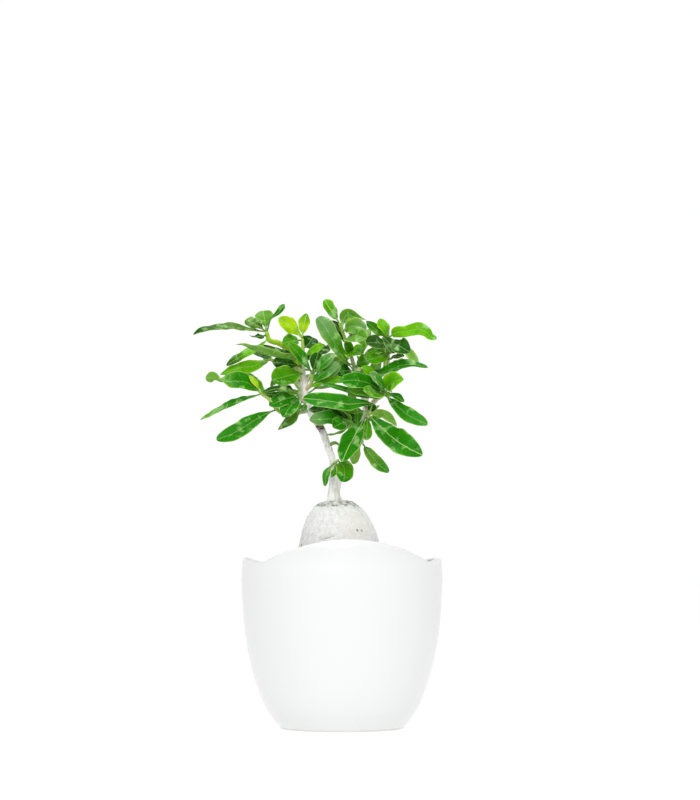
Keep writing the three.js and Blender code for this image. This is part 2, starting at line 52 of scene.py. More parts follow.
POT_RADIUS = 55.4
POT_FOOT_RADIUS = 33
POT_WALL = 4
POT_FLOOR = 6
RIM_VALLEY = 91
STRAIGHT_FROM = 82
LOBE_RISE = 12.6
SIDE_LOBE_RISE = 2.7
LOBE_TURN = math.radians(4.5)
LOBE_REACH = math.radians(57)
VALLEY_SOFTNESS = 0.5
RIM_LEAN = 0.005
LIP_SQUARENESS = 0.65
BACK_DIP = 2.2
BACK_DIP_AT = math.radians(-141)
BACK_DIP_REACH = math.radians(46)
DRAIN_HOLE_RADIUS = 3.5
DRAIN_CIRCLE_RADIUS = 15
DRAIN_HOLES = 3
FOOT_EDGE = 1.2
HAND_WAVER = 0.12
POT_SIDES = 160
POT_WHITE = (0.768, 0.773, 0.771, 1)
POT_CLOUD = (0.76, 0.766, 0.764, 1)
RIM_PAINTED_SHADE = (0.93, 0.93, 0.93, 1)
BISCUIT_AND_FOOT_SHADE = (0.7, 0.68, 0.64, 1)


def smooth_step(value, low, high):
    t = min(max((value - low) / (high - low), 0), 1)
    return t * t * (3 - 2 * t)


def curve_point(points, t):
    """The point at t, from 0 to 1, on a smooth curve through the given ones."""
    place = t * (len(points) - 1)
    k = min(int(place), len(points) - 2)
    w = place - k
    b, c = points[k], points[k + 1]
    a = points[k - 1] if k > 0 else 2 * b - c
    d = points[k + 2] if k + 2 < len(points) else 2 * c - b
    ab, bc, cd = (math.sqrt((q - p).length) for p, q in ((a, b), (b, c), (c, d)))
    start = ((b - a) / ab - (c - a) / (ab + bc) + (c - b) / bc) * bc
    end = ((c - b) / bc - (d - b) / (bc + cd) + (d - c) / cd) * bc
    return b + start * w + (3 * (c - b) - 2 * start - end) * w ** 2 + (2 * (b - c) + start + end) * w ** 3


def smooth_line(points, steps):
    vectors = [Vector(p) for p in points]
    return [curve_point(vectors, k / steps) for k in range(steps + 1)]


def turned(outline, sides):
    """A shape turned about Z from an outline of (radius, height) that starts and ends on the axis."""
    bm = bmesh.new()
    line = [bm.verts.new((radius, 0, height)) for radius, height in outline]
    edges = [bm.edges.new(pair) for pair in zip(line, line[1:])]
    bmesh.ops.spin(bm, geom=line + edges, cent=(0, 0, 0), axis=(0, 0, 1), dvec=(0, 0, 0),
                   angle=math.tau, steps=sides, use_merge=True, use_duplicate=False)
    bmesh.ops.remove_doubles(bm, verts=bm.verts, dist=0.001)
    bmesh.ops.recalc_face_normals(bm, faces=bm.faces)
    return bm


def piece(name, bm, material, sharp_over=50):
    """An object at the origin from a shape in millimetres."""
    bm.transform(Matrix.Scale(0.001, 4))
    mesh = bpy.data.meshes.new(name)
    bm.to_mesh(mesh)
    bm.free()
    mesh.shade_smooth()
    mesh.set_sharp_from_angle(angle=math.radians(sharp_over))
    mesh.materials.append(material)
    made = bpy.data.objects.new(name, mesh)
    bpy.context.scene.collection.objects.link(made)
    return made


def apply_modifiers(made):
    """Bakes the object's modifiers into its mesh."""
    bpy.context.view_layer.update()
    shaped = made.evaluated_get(bpy.context.evaluated_depsgraph_get())
    mesh = bpy.data.meshes.new_from_object(shaped)
    made.modifiers.clear()
    made.data = mesh


def blank_material(name):
    material = bpy.data.materials.new(name)
    material.use_nodes = True
    return material, material.node_tree.nodes["Principled BSDF"]


def feed(node, inputs):
    """Sets a node's inputs to values, or joins them to other nodes' outputs."""
    for key, value in inputs.items():
        if isinstance(value, bpy.types.NodeSocket):
            node.id_data.links.new(value, node.inputs[key])
        else:
            node.inputs[key].default_value = value


def add(tree, kind, inputs=None, **settings):
    node = tree.nodes.new("ShaderNode" + kind)
    for key, value in settings.items():
        setattr(node, key, value)
    feed(node, inputs or {})
    return node


def join(kind, inputs, **settings):
    """A node in the same tree as the outputs that it is joined to."""
    source = next(value for value in inputs.values() if isinstance(value, bpy.types.NodeSocket))
    return add(source.id_data, kind, inputs, **settings)


def place_on(shader, stretch=(1, 1, 1)):
    """Object coordinates, stretched."""
    where = add(shader.id_data, "TexCoord").outputs["Object"]
    return join("Mapping", {"Vector": where, "Scale": stretch}).outputs["Vector"]


def grain(where, scale, detail=3, roughness=0.5):
    """Noise of about 0 to 1 at a scale in features a metre."""
    settings = {"Vector": where, "Scale": scale, "Detail": detail, "Roughness": roughness}
    return join("TexNoise", settings).outputs["Fac"]


def remap(value, low, high, start=0, end=1):
    return join("MapRange", {0: value, 1: low, 2: high, 3: start, 4: end}).outputs[0]


def maths(operation, *values):
    return join("Math", dict(enumerate(values)), operation=operation).outputs[0]


def times(first, second):
    return maths("MULTIPLY", first, second)


def mix(factor, first, second, blend="MIX"):
    inputs = {0: factor, 6: first, 7: second}
    return join("Mix", inputs, data_type="RGBA", blend_type=blend).outputs[2]


def relief(shader, height, depth, strength):
    """Fine relief from a height of 0 to 1, depth being its real size in metres."""
    bump = join("Bump", {"Height": height, "Distance": depth, "Strength": strength})
    feed(shader, {"Normal": bump.outputs[0]})


def white_glaze():
    material, shader = blank_material("white_glaze")
    where = place_on(shader)
    height = join("SeparateXYZ", {0: where}).outputs["Z"]
    cloud = grain(place_on(shader, (1, 1, 0.35)), 22, 1)
    tone = mix(remap(cloud, 0.2, 0.8), POT_WHITE, POT_CLOUD)
    # Painted shade: the white is made a little darker towards the top of the rim.
    tone = mix(remap(height, 0.089, 0.103), tone, RIM_PAINTED_SHADE, "MULTIPLY")
    # The foot is bare, rougher and darker: its own unglazed clay, and painted shade where it curves under to
    # the table.
    edge = maths("ADD", height, remap(grain(where, 300), 0, 1, -0.0006, 0.0006))
    bare_shaded_foot = remap(edge, 0.0007, 0.0012, 1, 0)
    smooth = remap(grain(where, 60), 0.2, 0.8, 0.27, 0.34)
    rough = maths("MAXIMUM", smooth, times(bare_shaded_foot, 0.85))
    feed(shader, {"Base Color": mix(bare_shaded_foot, tone, BISCUIT_AND_FOOT_SHADE), "Roughness": rough, "Coat Weight": 0.35,
                  "Coat Roughness": 0.12})
    speckle = times(grain(where, 700), 0.02)
    relief(shader, maths("ADD", cloud, speckle), 0.0003, 0.08)
    return material


def rim_height(angle):
    """The rim's height where angle is counted from the front."""
    from_front = abs(math.atan(math.tan(angle - LOBE_TURN)))
    lobe = math.cos(min(from_front / LOBE_REACH, 1) * math.pi / 2) * LOBE_RISE
    from_side = (math.pi / 2 - from_front) / (math.pi / 2 - LOBE_REACH)
    side_lobe = math.cos(min(from_side, 1) * math.pi / 2) * SIDE_LOBE_RISE
    from_dip = abs((angle - BACK_DIP_AT + math.pi) % math.tau - math.pi)
    dip = BACK_DIP * (1 - min(from_dip / BACK_DIP_REACH, 1) ** 4)
    return RIM_VALLEY + math.sqrt(lobe ** 2 + side_lobe ** 2 + VALLEY_SOFTNESS ** 2) - dip


def pot_outline():
    foot = [(POT_FOOT_RADIUS + math.sin(turn) * FOOT_EDGE, FOOT_EDGE - math.cos(turn) * FOOT_EDGE)
            for turn in (math.radians(15 * k) for k in range(1, 6))]
    outside = smooth_line([(POT_FOOT_RADIUS + 1.5, FOOT_EDGE), (38, 5.5), (42.6, 12.3), (49.8, 33),
                           (53.6, 54), (POT_RADIUS, STRAIGHT_FROM)], 54)
    middle = POT_RADIUS - POT_WALL / 2
    lip = [(middle + math.copysign(abs(math.cos(turn)) ** LIP_SQUARENESS, math.cos(turn)) * POT_WALL / 2,
            RIM_VALLEY - POT_WALL / 2 + max(math.sin(turn), 0) ** LIP_SQUARENESS * POT_WALL / 2)
           for turn in (math.radians(12 * k) for k in range(16))]
    inside = smooth_line([(POT_RADIUS - POT_WALL, STRAIGHT_FROM), (50.4, 64), (47.2, 40), (41.4, 18),
                          (34, POT_FLOOR + 2), (28, POT_FLOOR)], 36)
    return [(0, 0), (20, 0), (POT_FOOT_RADIUS, 0), *foot, *outside, *lip, *inside, (0, POT_FLOOR)]


def make_pot():
    bm = turned(pot_outline(), POT_SIDES)
    for vert in bm.verts:
        radius = math.hypot(vert.co.x, vert.co.y)
        if radius == 0:
            continue
        angle = math.atan2(vert.co.x, -vert.co.y)
        stretch = (rim_height(angle) - STRAIGHT_FROM) / (RIM_VALLEY - STRAIGHT_FROM)
        height = max(vert.co.z - STRAIGHT_FROM, 0) * stretch
        waver = HAND_WAVER * noise.noise(vert.co * 0.03) * min(vert.co.z / 10, 1)
        reach = radius - RIM_LEAN * height ** 2 + waver
        vert.co = Vector((vert.co.x * reach / radius, vert.co.y * reach / radius,
                          min(vert.co.z, STRAIGHT_FROM) + height))
    return piece("pot_shell", bm, white_glaze(), 60)


def drill(made):
    """Cuts the drain holes through the pot's floor."""
    bm = bmesh.new()
    for k in range(DRAIN_HOLES):
        turn = math.tau * k / DRAIN_HOLES + math.pi / 2
        middle = Vector((math.cos(turn), math.sin(turn), 0)) * DRAIN_CIRCLE_RADIUS
        bmesh.ops.create_cone(bm, cap_ends=True, segments=40, radius1=DRAIN_HOLE_RADIUS,
                              radius2=DRAIN_HOLE_RADIUS, depth=POT_FLOOR * 3,
                              matrix=Matrix.Translation(middle))
    cutter = piece("drill", bm, made.data.materials[0])
    cut = made.modifiers.new("drain holes", "BOOLEAN")
    cut.operation = "DIFFERENCE"
    cut.object = cutter
    apply_modifiers(made)
    bpy.data.objects.remove(cutter)


pot = make_pot()
drill(pot)
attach(pot, "root")
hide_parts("pot")


# Caudex
# The swollen tuber that the plant stores water in: a dome above the soil, tapering to a taproot.
# Its skin is pale corky bark, finely cracked, with a crust of old bark round the neck of the trunk.

CAUDEX_X = -1.3
CAUDEX_LEAN = -1.3
CAUDEX_TOP = 125.2
CAUDEX_LEANS_FROM = 97
CAUDEX_LUMP = 0.012
CAUDEX_SIDES = 168
SOIL_TOP = 80
NECK = Vector((-4.4, 0, CAUDEX_TOP))
NECK_CRUST_RADIUS = 9.4
NECK_CRUST_FROM = 115
CREASE = [(Vector((-13.6, 103)), 0.3), (Vector((-9.2, 104.1)), 1), (Vector((-4.5, 105.4)), 0.7),
          (Vector((3.4, 109.8)), 0.1)]
CREASE_DEPTH = 0.6
CREASE_REACH = 0.55
RAGGED = Vector((0.0011, 0.0011, 0.0011))
SPECKS = [((8.4, -17.3, 108.6), 0.6), ((10.8, -15.7, 108.7), 0.65), ((-21.9, -8.2, 104.7), 0.8),
          ((-22.7, -8.7, 100.7), 1), ((-9, -20.6, 104.2), 0.6), ((-7.4, -20.9, 104.6), 0.6),
          ((-4.9, -21.2, 105.5), 0.45), ((3.2, -20.3, 110.2), 0.4)]
CORK = (0.865, 0.864, 0.857, 1)
CORK_SHADE = (0.58, 0.577, 0.565, 1)
TAN = (0.86, 0.81, 0.69, 1)
TAN_AT = (10, -17, 112)
CRUST = (0.2, 0.19, 0.15, 1)
SPECK = (0.1, 0.085, 0.065, 1)
CREASE_PAINTED_SHADE = (0.4, 0.37, 0.3, 1)
BROWN_AT_SOIL_LINE = (0.3, 0.25, 0.19, 1)


def vector_maths(operation, first, second, output="Vector"):
    return join("VectorMath", {0: first, 1: second}, operation=operation).outputs[output]


def written(shader, name, output):
    """What the piece's own attribute of that name holds at each point."""
    return add(shader.id_data, "Attribute", attribute_name=name).outputs[output]


def near(where, point, radius, soft):
    """1 within a radius in millimetres of a point, falling to 0 round it."""
    gap = vector_maths("DISTANCE", where, Vector(point) * 0.001, "Value")
    return remap(gap, radius * (1 - soft) * 0.001, radius * (1 + soft) * 0.001, 1, 0)


def corky_bark():
    material, shader = blank_material("corky_bark")
    where = place_on(shader)
    spread = join("TexNoise", {"Vector": where, "Scale": 500, "Detail": 3}).outputs["Color"]
    loose = vector_maths("ADD", where, vector_maths("MULTIPLY", spread, RAGGED * 2))
    loose = vector_maths("SUBTRACT", loose, RAGGED)
    mottle = grain(where, 420, 4, 0.6)
    fine = grain(place_on(shader, (1, 1, 0.45)), 1500, 3, 0.6)
    tone = mix(remap(mottle, 0.42, 0.68, 0, 0.55), CORK, CORK_SHADE)
    tone = mix(remap(fine, 0.54, 0.7, 0, 0.6), tone, CORK_SHADE)
    tan = times(near(loose, TAN_AT, 9, 0.7), remap(mottle, 0.3, 0.6))
    tone = mix(times(tan, 0.6), tone, TAN)
    # Painted shade along the crease across the front of the dome.
    crease = written(shader, "crease", "Fac")
    tone = mix(remap(times(crease, mottle), 0.15, 0.6, 0, 0.9), tone, CREASE_PAINTED_SHADE)
    height = join("SeparateXYZ", {0: loose}).outputs["Z"]
    crust = remap(height, 0.1212, 0.1222)
    crust = times(crust, maths("SUBTRACT", 1, near(loose, NECK, 5.6, 0.25)))
    crust = times(crust, remap(grain(where, 260), 0.42, 0.56, 0.1, 1))
    crust = times(crust, remap(grain(where, 900, 4), 0.28, 0.52))
    tone = mix(crust, tone, CRUST)
    for point, radius in SPECKS:
        tone = mix(times(near(loose, point, radius, 0.4), 0.75), tone, SPECK)
    # Darker brown towards the soil line at the foot of the dome.
    tone = mix(remap(height, 0.082, 0.09, 0.7, 0), tone, BROWN_AT_SOIL_LINE)
    feed(shader, {"Base Color": tone, "Roughness": 0.88, "Specular IOR Level": 0.3})
    relief(shader, maths("ADD", times(fine, 0.7), mottle), 0.0005, 0.55)
    return material


def crease_share(co):
    """How far into the crease across the front of the dome a point lies, from 0 to 1."""
    if co.y > 0:
        return 0
    across = Vector((co.x, co.z))
    share = 0
    for (start, depth), (end, end_depth) in zip(CREASE, CREASE[1:]):
        run = end - start
        t = min(max((across - start).dot(run) / run.length_squared, 0), 1)
        gap = (across - start - run * t).length
        share = max(share, math.exp(-(gap / CREASE_REACH) ** 2) * (depth + (end_depth - depth) * t))
    return share


def raise_skin(bm, rise):
    """Moves every point out along the surface's normal there, by rise(vert)."""
    bm.normal_update()
    moved = [vert.co + vert.normal * rise(vert) for vert in bm.verts]
    for vert, co in zip(bm.verts, moved):
        vert.co = co


def make_caudex():
    outline = smooth_line([(0, 42), (4.5, 45), (10, 52), (17, 63), (22, 75), (24.2, 88), (23, 97),
                           (21.4, 104), (19.6, 110), (16.9, 116), (12.8, 121.3), (7.2, 124.5),
                           (0, CAUDEX_TOP)], 132)
    bm = turned([(max(p.x, 0), p.y) for p in outline], CAUDEX_SIDES)
    for vert in bm.verts:
        x, y, z = vert.co
        angle = math.atan2(y, x)
        radius = math.hypot(x, y)
        lumps = 1 + CAUDEX_LUMP * (math.sin(3 * angle + z * 0.05) + math.sin(5 * angle - z * 0.11 + 1))
        lean = CAUDEX_LEAN * smooth_step(z, CAUDEX_LEANS_FROM, CAUDEX_TOP)
        vert.co = Vector((x * lumps + CAUDEX_X + lean, y * lumps, z))
    crease = bm.verts.layers.float.new("crease")
    for vert in bm.verts:
        vert[crease] = crease_share(vert.co)

    def bark(vert):
        co = vert.co
        cork = 0.32 * noise.fractal(Vector((co.x * 0.5, co.y * 0.5, co.z * 0.3)), 0.9, 2.1, 4)
        pores = 0.16 * noise.noise(co * 1.9)
        from_neck = math.hypot(co.x - NECK.x, co.y)
        ragged = NECK_CRUST_RADIUS + 1.4 * noise.noise(co * 0.35)
        crust = 0.5 * math.exp(-((from_neck - ragged) / 1.3) ** 2) if co.z > NECK_CRUST_FROM else 0
        crust *= 0.1 + 2 * abs(noise.noise(co * 0.8))
        return cork + pores + crust - CREASE_DEPTH * vert[crease]

    raise_skin(bm, bark)
    return piece("caudex_tuber", bm, corky_bark(), 80)


caudex = make_caudex()
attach(caudex, "root")
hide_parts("caudex")


# Soil
# A gritty bark mix that fills the pot round the tuber. Its heap keeps the shape of the fixed part,
# and a top layer of loose crumbs of bark, clay and pumice lies on it.

SOIL_MOUND = 4
SOIL_RIPPLE = 0.8
HEAP_RADII = (29, 38, 48)
CRUMBS = 1500
CRUMB_SIZES = (0.8, 2.3)
CRUMBS_FROM = 22
POT_CLEAR = 50.9
TUBER_CLEAR = 24
CRUMB_DUST = (0.02, 0.013, 0.008, 1)
HEAP_TONES = ((0.03, 0.018, 0.01, 1), (0.13, 0.078, 0.042, 1))
CRUMB_COLOURS = [(0.055, 0.032, 0.018), (0.09, 0.052, 0.028), (0.16, 0.09, 0.045), (0.28, 0.19, 0.11),
                 (0.46, 0.42, 0.34)]
CRUMB_SHARES = [34, 30, 20, 10, 6]


def soil_height(x, y):
    """The height of the heap, which is level near the tuber and falls in three slopes to the wall."""
    radius = math.hypot(x, y)
    level, bend, foot = HEAP_RADII
    ripple = SOIL_RIPPLE * math.sin(4 * math.atan2(y, x) + radius * 0.3)
    if radius <= level:
        return SOIL_TOP + SOIL_MOUND + ripple
    if radius <= bend:
        return SOIL_TOP + SOIL_MOUND - (radius - level) / (bend - level) * SOIL_MOUND * 2 / 3 + ripple
    if radius <= foot:
        share = (foot - radius) / (foot - bend)
        return SOIL_TOP + SOIL_MOUND / 3 * share + ripple * share
    return SOIL_TOP - (radius - foot) / 2.7


def crumbly():
    material, shader = blank_material("crumbly_soil")
    tint = written(shader, "tint", "Color")
    rough = grain(place_on(shader), 1300, 4, 0.65)
    tone = mix(remap(rough, 0.3, 0.7, 0.25, 0.9), CRUMB_DUST, tint)
    feed(shader, {"Base Color": tone, "Roughness": 0.95, "Specular IOR Level": 0.2})
    relief(shader, rough, 0.0006, 0.8)
    return material


def heap_soil():
    material, shader = blank_material("soil_heap")
    rough = grain(place_on(shader), 450, 6, 0.7)
    tone = mix(remap(rough, 0.3, 0.7), *HEAP_TONES)
    feed(shader, {"Base Color": tone, "Roughness": 0.97})
    relief(shader, rough, 0.0015, 0.9)
    return material


def add_to(whole, part):
    """Moves a small shape into a larger one."""
    scrap = bpy.data.meshes.new("scrap")
    part.to_mesh(scrap)
    part.free()
    whole.from_mesh(scrap)
    bpy.data.meshes.remove(scrap)


def make_crumbs():
    draw = random.Random(11)
    bm = bmesh.new()
    bm.verts.layers.float_color.new("tint")
    for _ in range(CRUMBS):
        radius = math.sqrt(draw.uniform(CRUMBS_FROM ** 2, POT_CLEAR ** 2))
        turn = draw.uniform(0, math.tau)
        size = CRUMB_SIZES[0] + (CRUMB_SIZES[1] - CRUMB_SIZES[0]) * draw.random() ** 2.2
        radius = min(radius, POT_CLEAR - size)
        x, y = radius * math.cos(turn), radius * math.sin(turn)
        if math.hypot(x - CAUDEX_X, y) < TUBER_CLEAR + size * 0.7:
            continue
        squash = Vector((draw.uniform(0.75, 1.25), draw.uniform(0.6, 1), draw.uniform(0.45, 0.8)))
        tone = Vector(draw.choices(CRUMB_COLOURS, CRUMB_SHARES)[0]) * draw.uniform(0.75, 1.3)
        lie = Matrix.Rotation(draw.uniform(0, math.tau), 4, "Z")
        lie @= Matrix.Rotation(draw.uniform(-0.5, 0.5), 4, "X")
        lift = soil_height(x, y) + size * draw.uniform(-0.15, 0.3)
        crumb = bmesh.new()
        tint = crumb.verts.layers.float_color.new("tint")
        bmesh.ops.create_icosphere(crumb, subdivisions=2 if size > 1.2 else 1, radius=size)
        jag = Vector((draw.uniform(0, 100), 0, 0))
        for vert in crumb.verts:
            rough = 1 + 0.38 * noise.noise(vert.co * (1.1 / size) + jag)
            vert.co = lie @ Vector(a * b * rough for a, b in zip(vert.co, squash)) + Vector((x, y, lift))
            vert[tint] = (*tone, 1)
        add_to(bm, crumb)
    return piece("soil_crumbs", bm, crumbly(), 35)


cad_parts["soil"].data.materials[0] = heap_soil()
soil_crumbs = make_crumbs()
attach(soil_crumbs, "root")


# Trunk
# The woody stem with its second stem and its branches, grown as one and joined without a seam.
# Its bark is pale and smooth, grooved along the grain, with brown scars where old twigs fell away.

TRUNK_BRANCHES = [
    ([(-4.1, 0, 123.4), (-4.7, 0, 133), (-4.9, -0.5, 142), (-5.4, -1, 148), (-7.8, -1.5, 154.8),
      (-10.6, -2, 162.8), (-13.8, -2.5, 168.3), (-18, -2, 174.3), (-20, -1, 181.8), (-20.6, 0, 188.8),
      (-21.2, 0, 194.8)],
     [4.3, 2.7, 2.1, 1.9, 2, 2, 2.2, 1.8, 1.7, 1.7, 1.3]),
    ([(-3.6, 1.2, 128), (-1.4, 2, 138), (1.5, 1, 148), (6.5, -2, 157.8), (11.5, -4, 167.8),
      (14.4, -4, 174.8), (18, -2, 180.3)],
     [2.2, 1.9, 1.7, 1.7, 1.9, 1.7, 1.4]),
    ([(17.6, -2.4, 179.4), (22.4, 0.5, 185.8), (25.2, 3, 194.3)], [1.4, 1.2, 1.1]),
    ([(14.2, -4, 174.4), (10.6, -1, 185.8), (7.5, 0.8, 195.8)], [1.4, 1.3, 1.2]),
    ([(-9.6, -2, 160.8), (-13, 8, 170), (-18, 15, 178)], [1.6, 1.3, 1.1]),
    ([(5.6, -1.4, 156.2), (10, 8, 168), (13, 15, 178)], [1.5, 1.3, 1.1]),
]
BRANCH_SIDES = 20
BRANCH_RINGS = 14
BARK_VOXEL = 0.36
BARK = (0.87, 0.865, 0.85, 1)
BARK_SHADE = (0.53, 0.51, 0.48, 1)
BARK_TAN = (0.5, 0.44, 0.34, 1)
STUB_TAN = (0.7, 0.62, 0.48, 1)
NODE_TAN = (0.56, 0.37, 0.19, 1)
SCAR = (0.075, 0.045, 0.025, 1)
SCARS = [((-12.2, -3.5, 165.6), 3.2, SCAR), ((-16.6, -2.5, 188.9), 1.6, NODE_TAN),
         ((-21.4, -1.5, 192.4), 1.8, STUB_TAN), ((17.6, -2.6, 180.4), 2.2, NODE_TAN),
         ((14.4, -5, 176), 1.8, NODE_TAN), ((12.6, -5.4, 177), 1, SCAR), ((8, -2, 199.5), 1.4, NODE_TAN),
         ((-1.4, -1.2, 129), 1.8, STUB_TAN), ((-17, -3, 187), 1.5, SCAR), ((-10, 2, 150), 1.2, NODE_TAN)]


def grown(bm, rings, sides, place):
    """Adds a closed skin from root to tip, and place(vert, ring, turn) puts each point on its ring."""
    skin = bmesh.ops.create_uvsphere(bm, u_segments=sides, v_segments=rings, radius=1)["verts"]
    for vert in skin:
        ring = round(math.acos(max(-1.0, min(1.0, -vert.co.z))) / math.pi * rings)
        place(vert, ring, math.atan2(vert.co.y, vert.co.x))
    faces = {face for vert in skin for face in vert.link_faces}
    bmesh.ops.recalc_face_normals(bm, faces=list(faces))


def frame_at(points, t):
    """The point at t on a smooth curve, with the directions to its side and to its front."""
    along = (curve_point(points, min(t + 0.01, 1)) - curve_point(points, max(t - 0.01, 0))).normalized()
    side = (Vector((1, 0, 0)) - along * along.x).normalized()
    return curve_point(points, t), side, side.cross(along)


def radius_at(radii, t):
    place = t * (len(radii) - 1)
    k = min(int(place), len(radii) - 2)
    return radii[k] + (radii[k + 1] - radii[k]) * (place - k)


def add_branch(bm, points, radii, sides, rings, swell=lambda t: 1):
    """A round tapering branch, closed at both ends."""
    line = [Vector(p) for p in points]
    frames = [frame_at(line, k / rings) for k in range(rings + 1)]

    def place(vert, ring, turn):
        middle, side, front = frames[ring]
        t = ring / rings
        radius = radius_at(radii, t) * swell(t) * (0 if ring in (0, rings) else 1)
        vert.co = middle + side * math.cos(turn) * radius + front * math.sin(turn) * radius

    grown(bm, rings, sides, place)


def pale_bark():
    material, shader = blank_material("pale_bark")
    where = place_on(shader)
    streak = grain(place_on(shader, (1, 1, 0.14)), 900, 4, 0.6)
    mottle = grain(where, 500, 4, 0.6)
    tone = mix(remap(streak, 0.46, 0.66, 0, 0.75), BARK, BARK_SHADE)
    tone = mix(remap(mottle, 0.52, 0.7, 0, 0.4), tone, BARK_TAN)
    worn = remap(mottle, 0.25, 0.55, 0.35, 1)
    for point, radius, scar in SCARS:
        tone = mix(times(near(where, point, radius, 0.45), worn), tone, scar)
    feed(shader, {"Base Color": tone, "Roughness": 0.82, "Specular IOR Level": 0.35})
    relief(shader, maths("ADD", streak, times(mottle, 0.5)), 0.0004, 0.7)
    return material


def make_trunk():
    bm = bmesh.new()
    for points, radii in TRUNK_BRANCHES:
        add_branch(bm, points, radii, BRANCH_SIDES, BRANCH_RINGS * (len(points) - 1))
    made = piece("trunk_wood", bm, pale_bark(), 180)
    skin = made.modifiers.new("one skin", "REMESH")
    skin.mode = "VOXEL"
    skin.voxel_size = BARK_VOXEL * 0.001
    skin.use_smooth_shade = True
    apply_modifiers(made)
    bm = bmesh.new()
    bm.from_mesh(made.data)
    bmesh.ops.smooth_vert(bm, verts=bm.verts, factor=0.5, use_axis_x=True, use_axis_y=True, use_axis_z=True)

    def bark(vert):
        co = vert.co * 1000
        groove = noise.noise(Vector((co.x * 0.75, co.y * 0.75, co.z * 0.09)))
        knot = noise.fractal(co * 0.45, 1.0, 2.0, 3)
        return (0.34 * groove + 0.16 * knot) * 0.001

    raise_skin(bm, bark)
    bm.to_mesh(made.data)
    bm.free()
    return made


trunk = make_trunk()
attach(trunk, "root")
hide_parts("trunk")


# Leafy shoots
# Green twigs with leathery leaves in rosettes, one piece each. A leaf is a waxy blade with a sunken
# midrib, folded along it, bowed and rippled at the edges, dark and glossy above and paler beneath.

BLADE = 0.5
PETIOLE = 2.6
PETIOLE_RADIUS = 0.5
EDGE_WAVES = 2.1
EDGE_SHIFT = 0.4
PETIOLE_RINGS = 4
BLADE_RINGS = 36
LEAF_SIDES = 28
CRUMPLE = 0.7
CRUMPLE_SCALE = 4.5
HEM_CRIMP = 0.6
HEM_SCALE = 5.5
HEM_WAVER = 0.12
RIB_WIDTH = 0.55
RIB_DEPTH = 0.14
RIB_SWELL = 0.3
TWIG_RINGS = 10
TWIG_SIDES = 12
TWIG_NODES = 1.5
NODE_SWELLING = 0.1


def colour(*screen):
    """A screen colour of 0 to 255 as Blender's linear one."""
    return Vector(((c / 255 + 0.055) / 1.055) ** 2.4 if c > 10 else c / 255 / 12.92 for c in screen)


LIME = colour(160, 202, 10)
FRESH = colour(100, 176, 4)
MID = colour(76, 150, 8)
RICH = colour(36, 126, 0)
DEEP = colour(24, 84, 4)
SLATE = colour(44, 90, 28)
SAGE = colour(88, 144, 42)
OLIVE = colour(74, 116, 32)
JADE = colour(56, 144, 30)
PALE = colour(140, 192, 80)
UNDERSIDE = colour(120, 168, 70)
SHEEN = colour(112, 156, 96)
PALE_VEIN = (*colour(190, 214, 130), 1)
PAINTED_SHEEN_PATCH = (*colour(168, 216, 134), 1)
CLOUD_SHADE = (0.34, 0.6, 0.2, 1)
FINE_SHADE = (0.6, 0.72, 0.5, 1)
MARGIN_AND_EDGE_GLOW = (2.2, 1.35, 1.5, 1)
VEIN_SPACING = 2.4
TWIG_GREEN = colour(150, 182, 74)
PALE_TWIG = colour(206, 206, 186)
TAN_TWIG = colour(198, 172, 132)
YOUNG_TWIG = colour(178, 206, 84)
TWIG_BROWN = (0.2, 0.17, 0.07, 1)
GREEN_AFTER = 13
BACK_TONES = [RICH, MID, DEEP, RICH, JADE, SAGE]
LAST_LEAF = 0.985
PAIRS = 3
PAIR_STEP = 0.3
PAIR_SPREAD = [62, 48, 34]
SHORT_LEAF = 0.62


@dataclass
class Leaf:
    """One leaf, which grows at a share of its twig's length. Its upper side looks the way of face.

    bow lifts its middle, unless it runs via given points. fold and twist are degrees, wave is the
    ripple of its edges and rib how pale its midrib is. It is widest at that share of its length,
    fuller towards its base the lower full is, and blunter at its tip the lower point is.
    """
    at: float
    end: tuple
    width: float
    face: tuple
    tone: Vector
    bow: float = 0.06
    fold: float = 12
    wave: float = 0.35
    phase: float = 0
    twist: float = 0
    twists_from: float = 0
    rib: float = 0.28
    tip: Vector = None
    widest: float = 0.6
    full: float = 0.72
    point: float = 0.62
    via: tuple = ()


BACK_SHOOTS = {
    "shoot_back_left": ([(-17.6, 14.4, 177.5), (-22, 24, 185), (-26, 33, 191)], 24, [1, 4]),
    "shoot_back_right": ([(12.9, 14.5, 177.4), (15, 24, 186), (17, 33, 192)], 24, [0]),
    "shoot_back_top": ([(-20.6, 0, 189), (-15, 12, 199), (-12, 24, 207)], 22, [3]),
    "shoot_back_upper": ([(8.9, 0.1, 190.6), (10, 13, 202), (12, 26, 210)], 22, []),
    "shoot_back_low": ([(4.2, -0.8, 153.4), (6, 14, 166), (7, 27, 174)], 22, []),
    "shoot_side_left": ([(-20, -0.8, 181.6), (-27, 12, 192), (-32, 24, 199)], 20, [1]),
    "shoot_side_right": ([(24.6, 2.4, 190.6), (24, 14, 198), (24, 26, 205)], 20, [0]),
}


def vary(seed):
    """A repeatable draw between -1 and 1."""
    return math.sin(seed * 12.9898) * 43758.5453 % 1 * 2 - 1


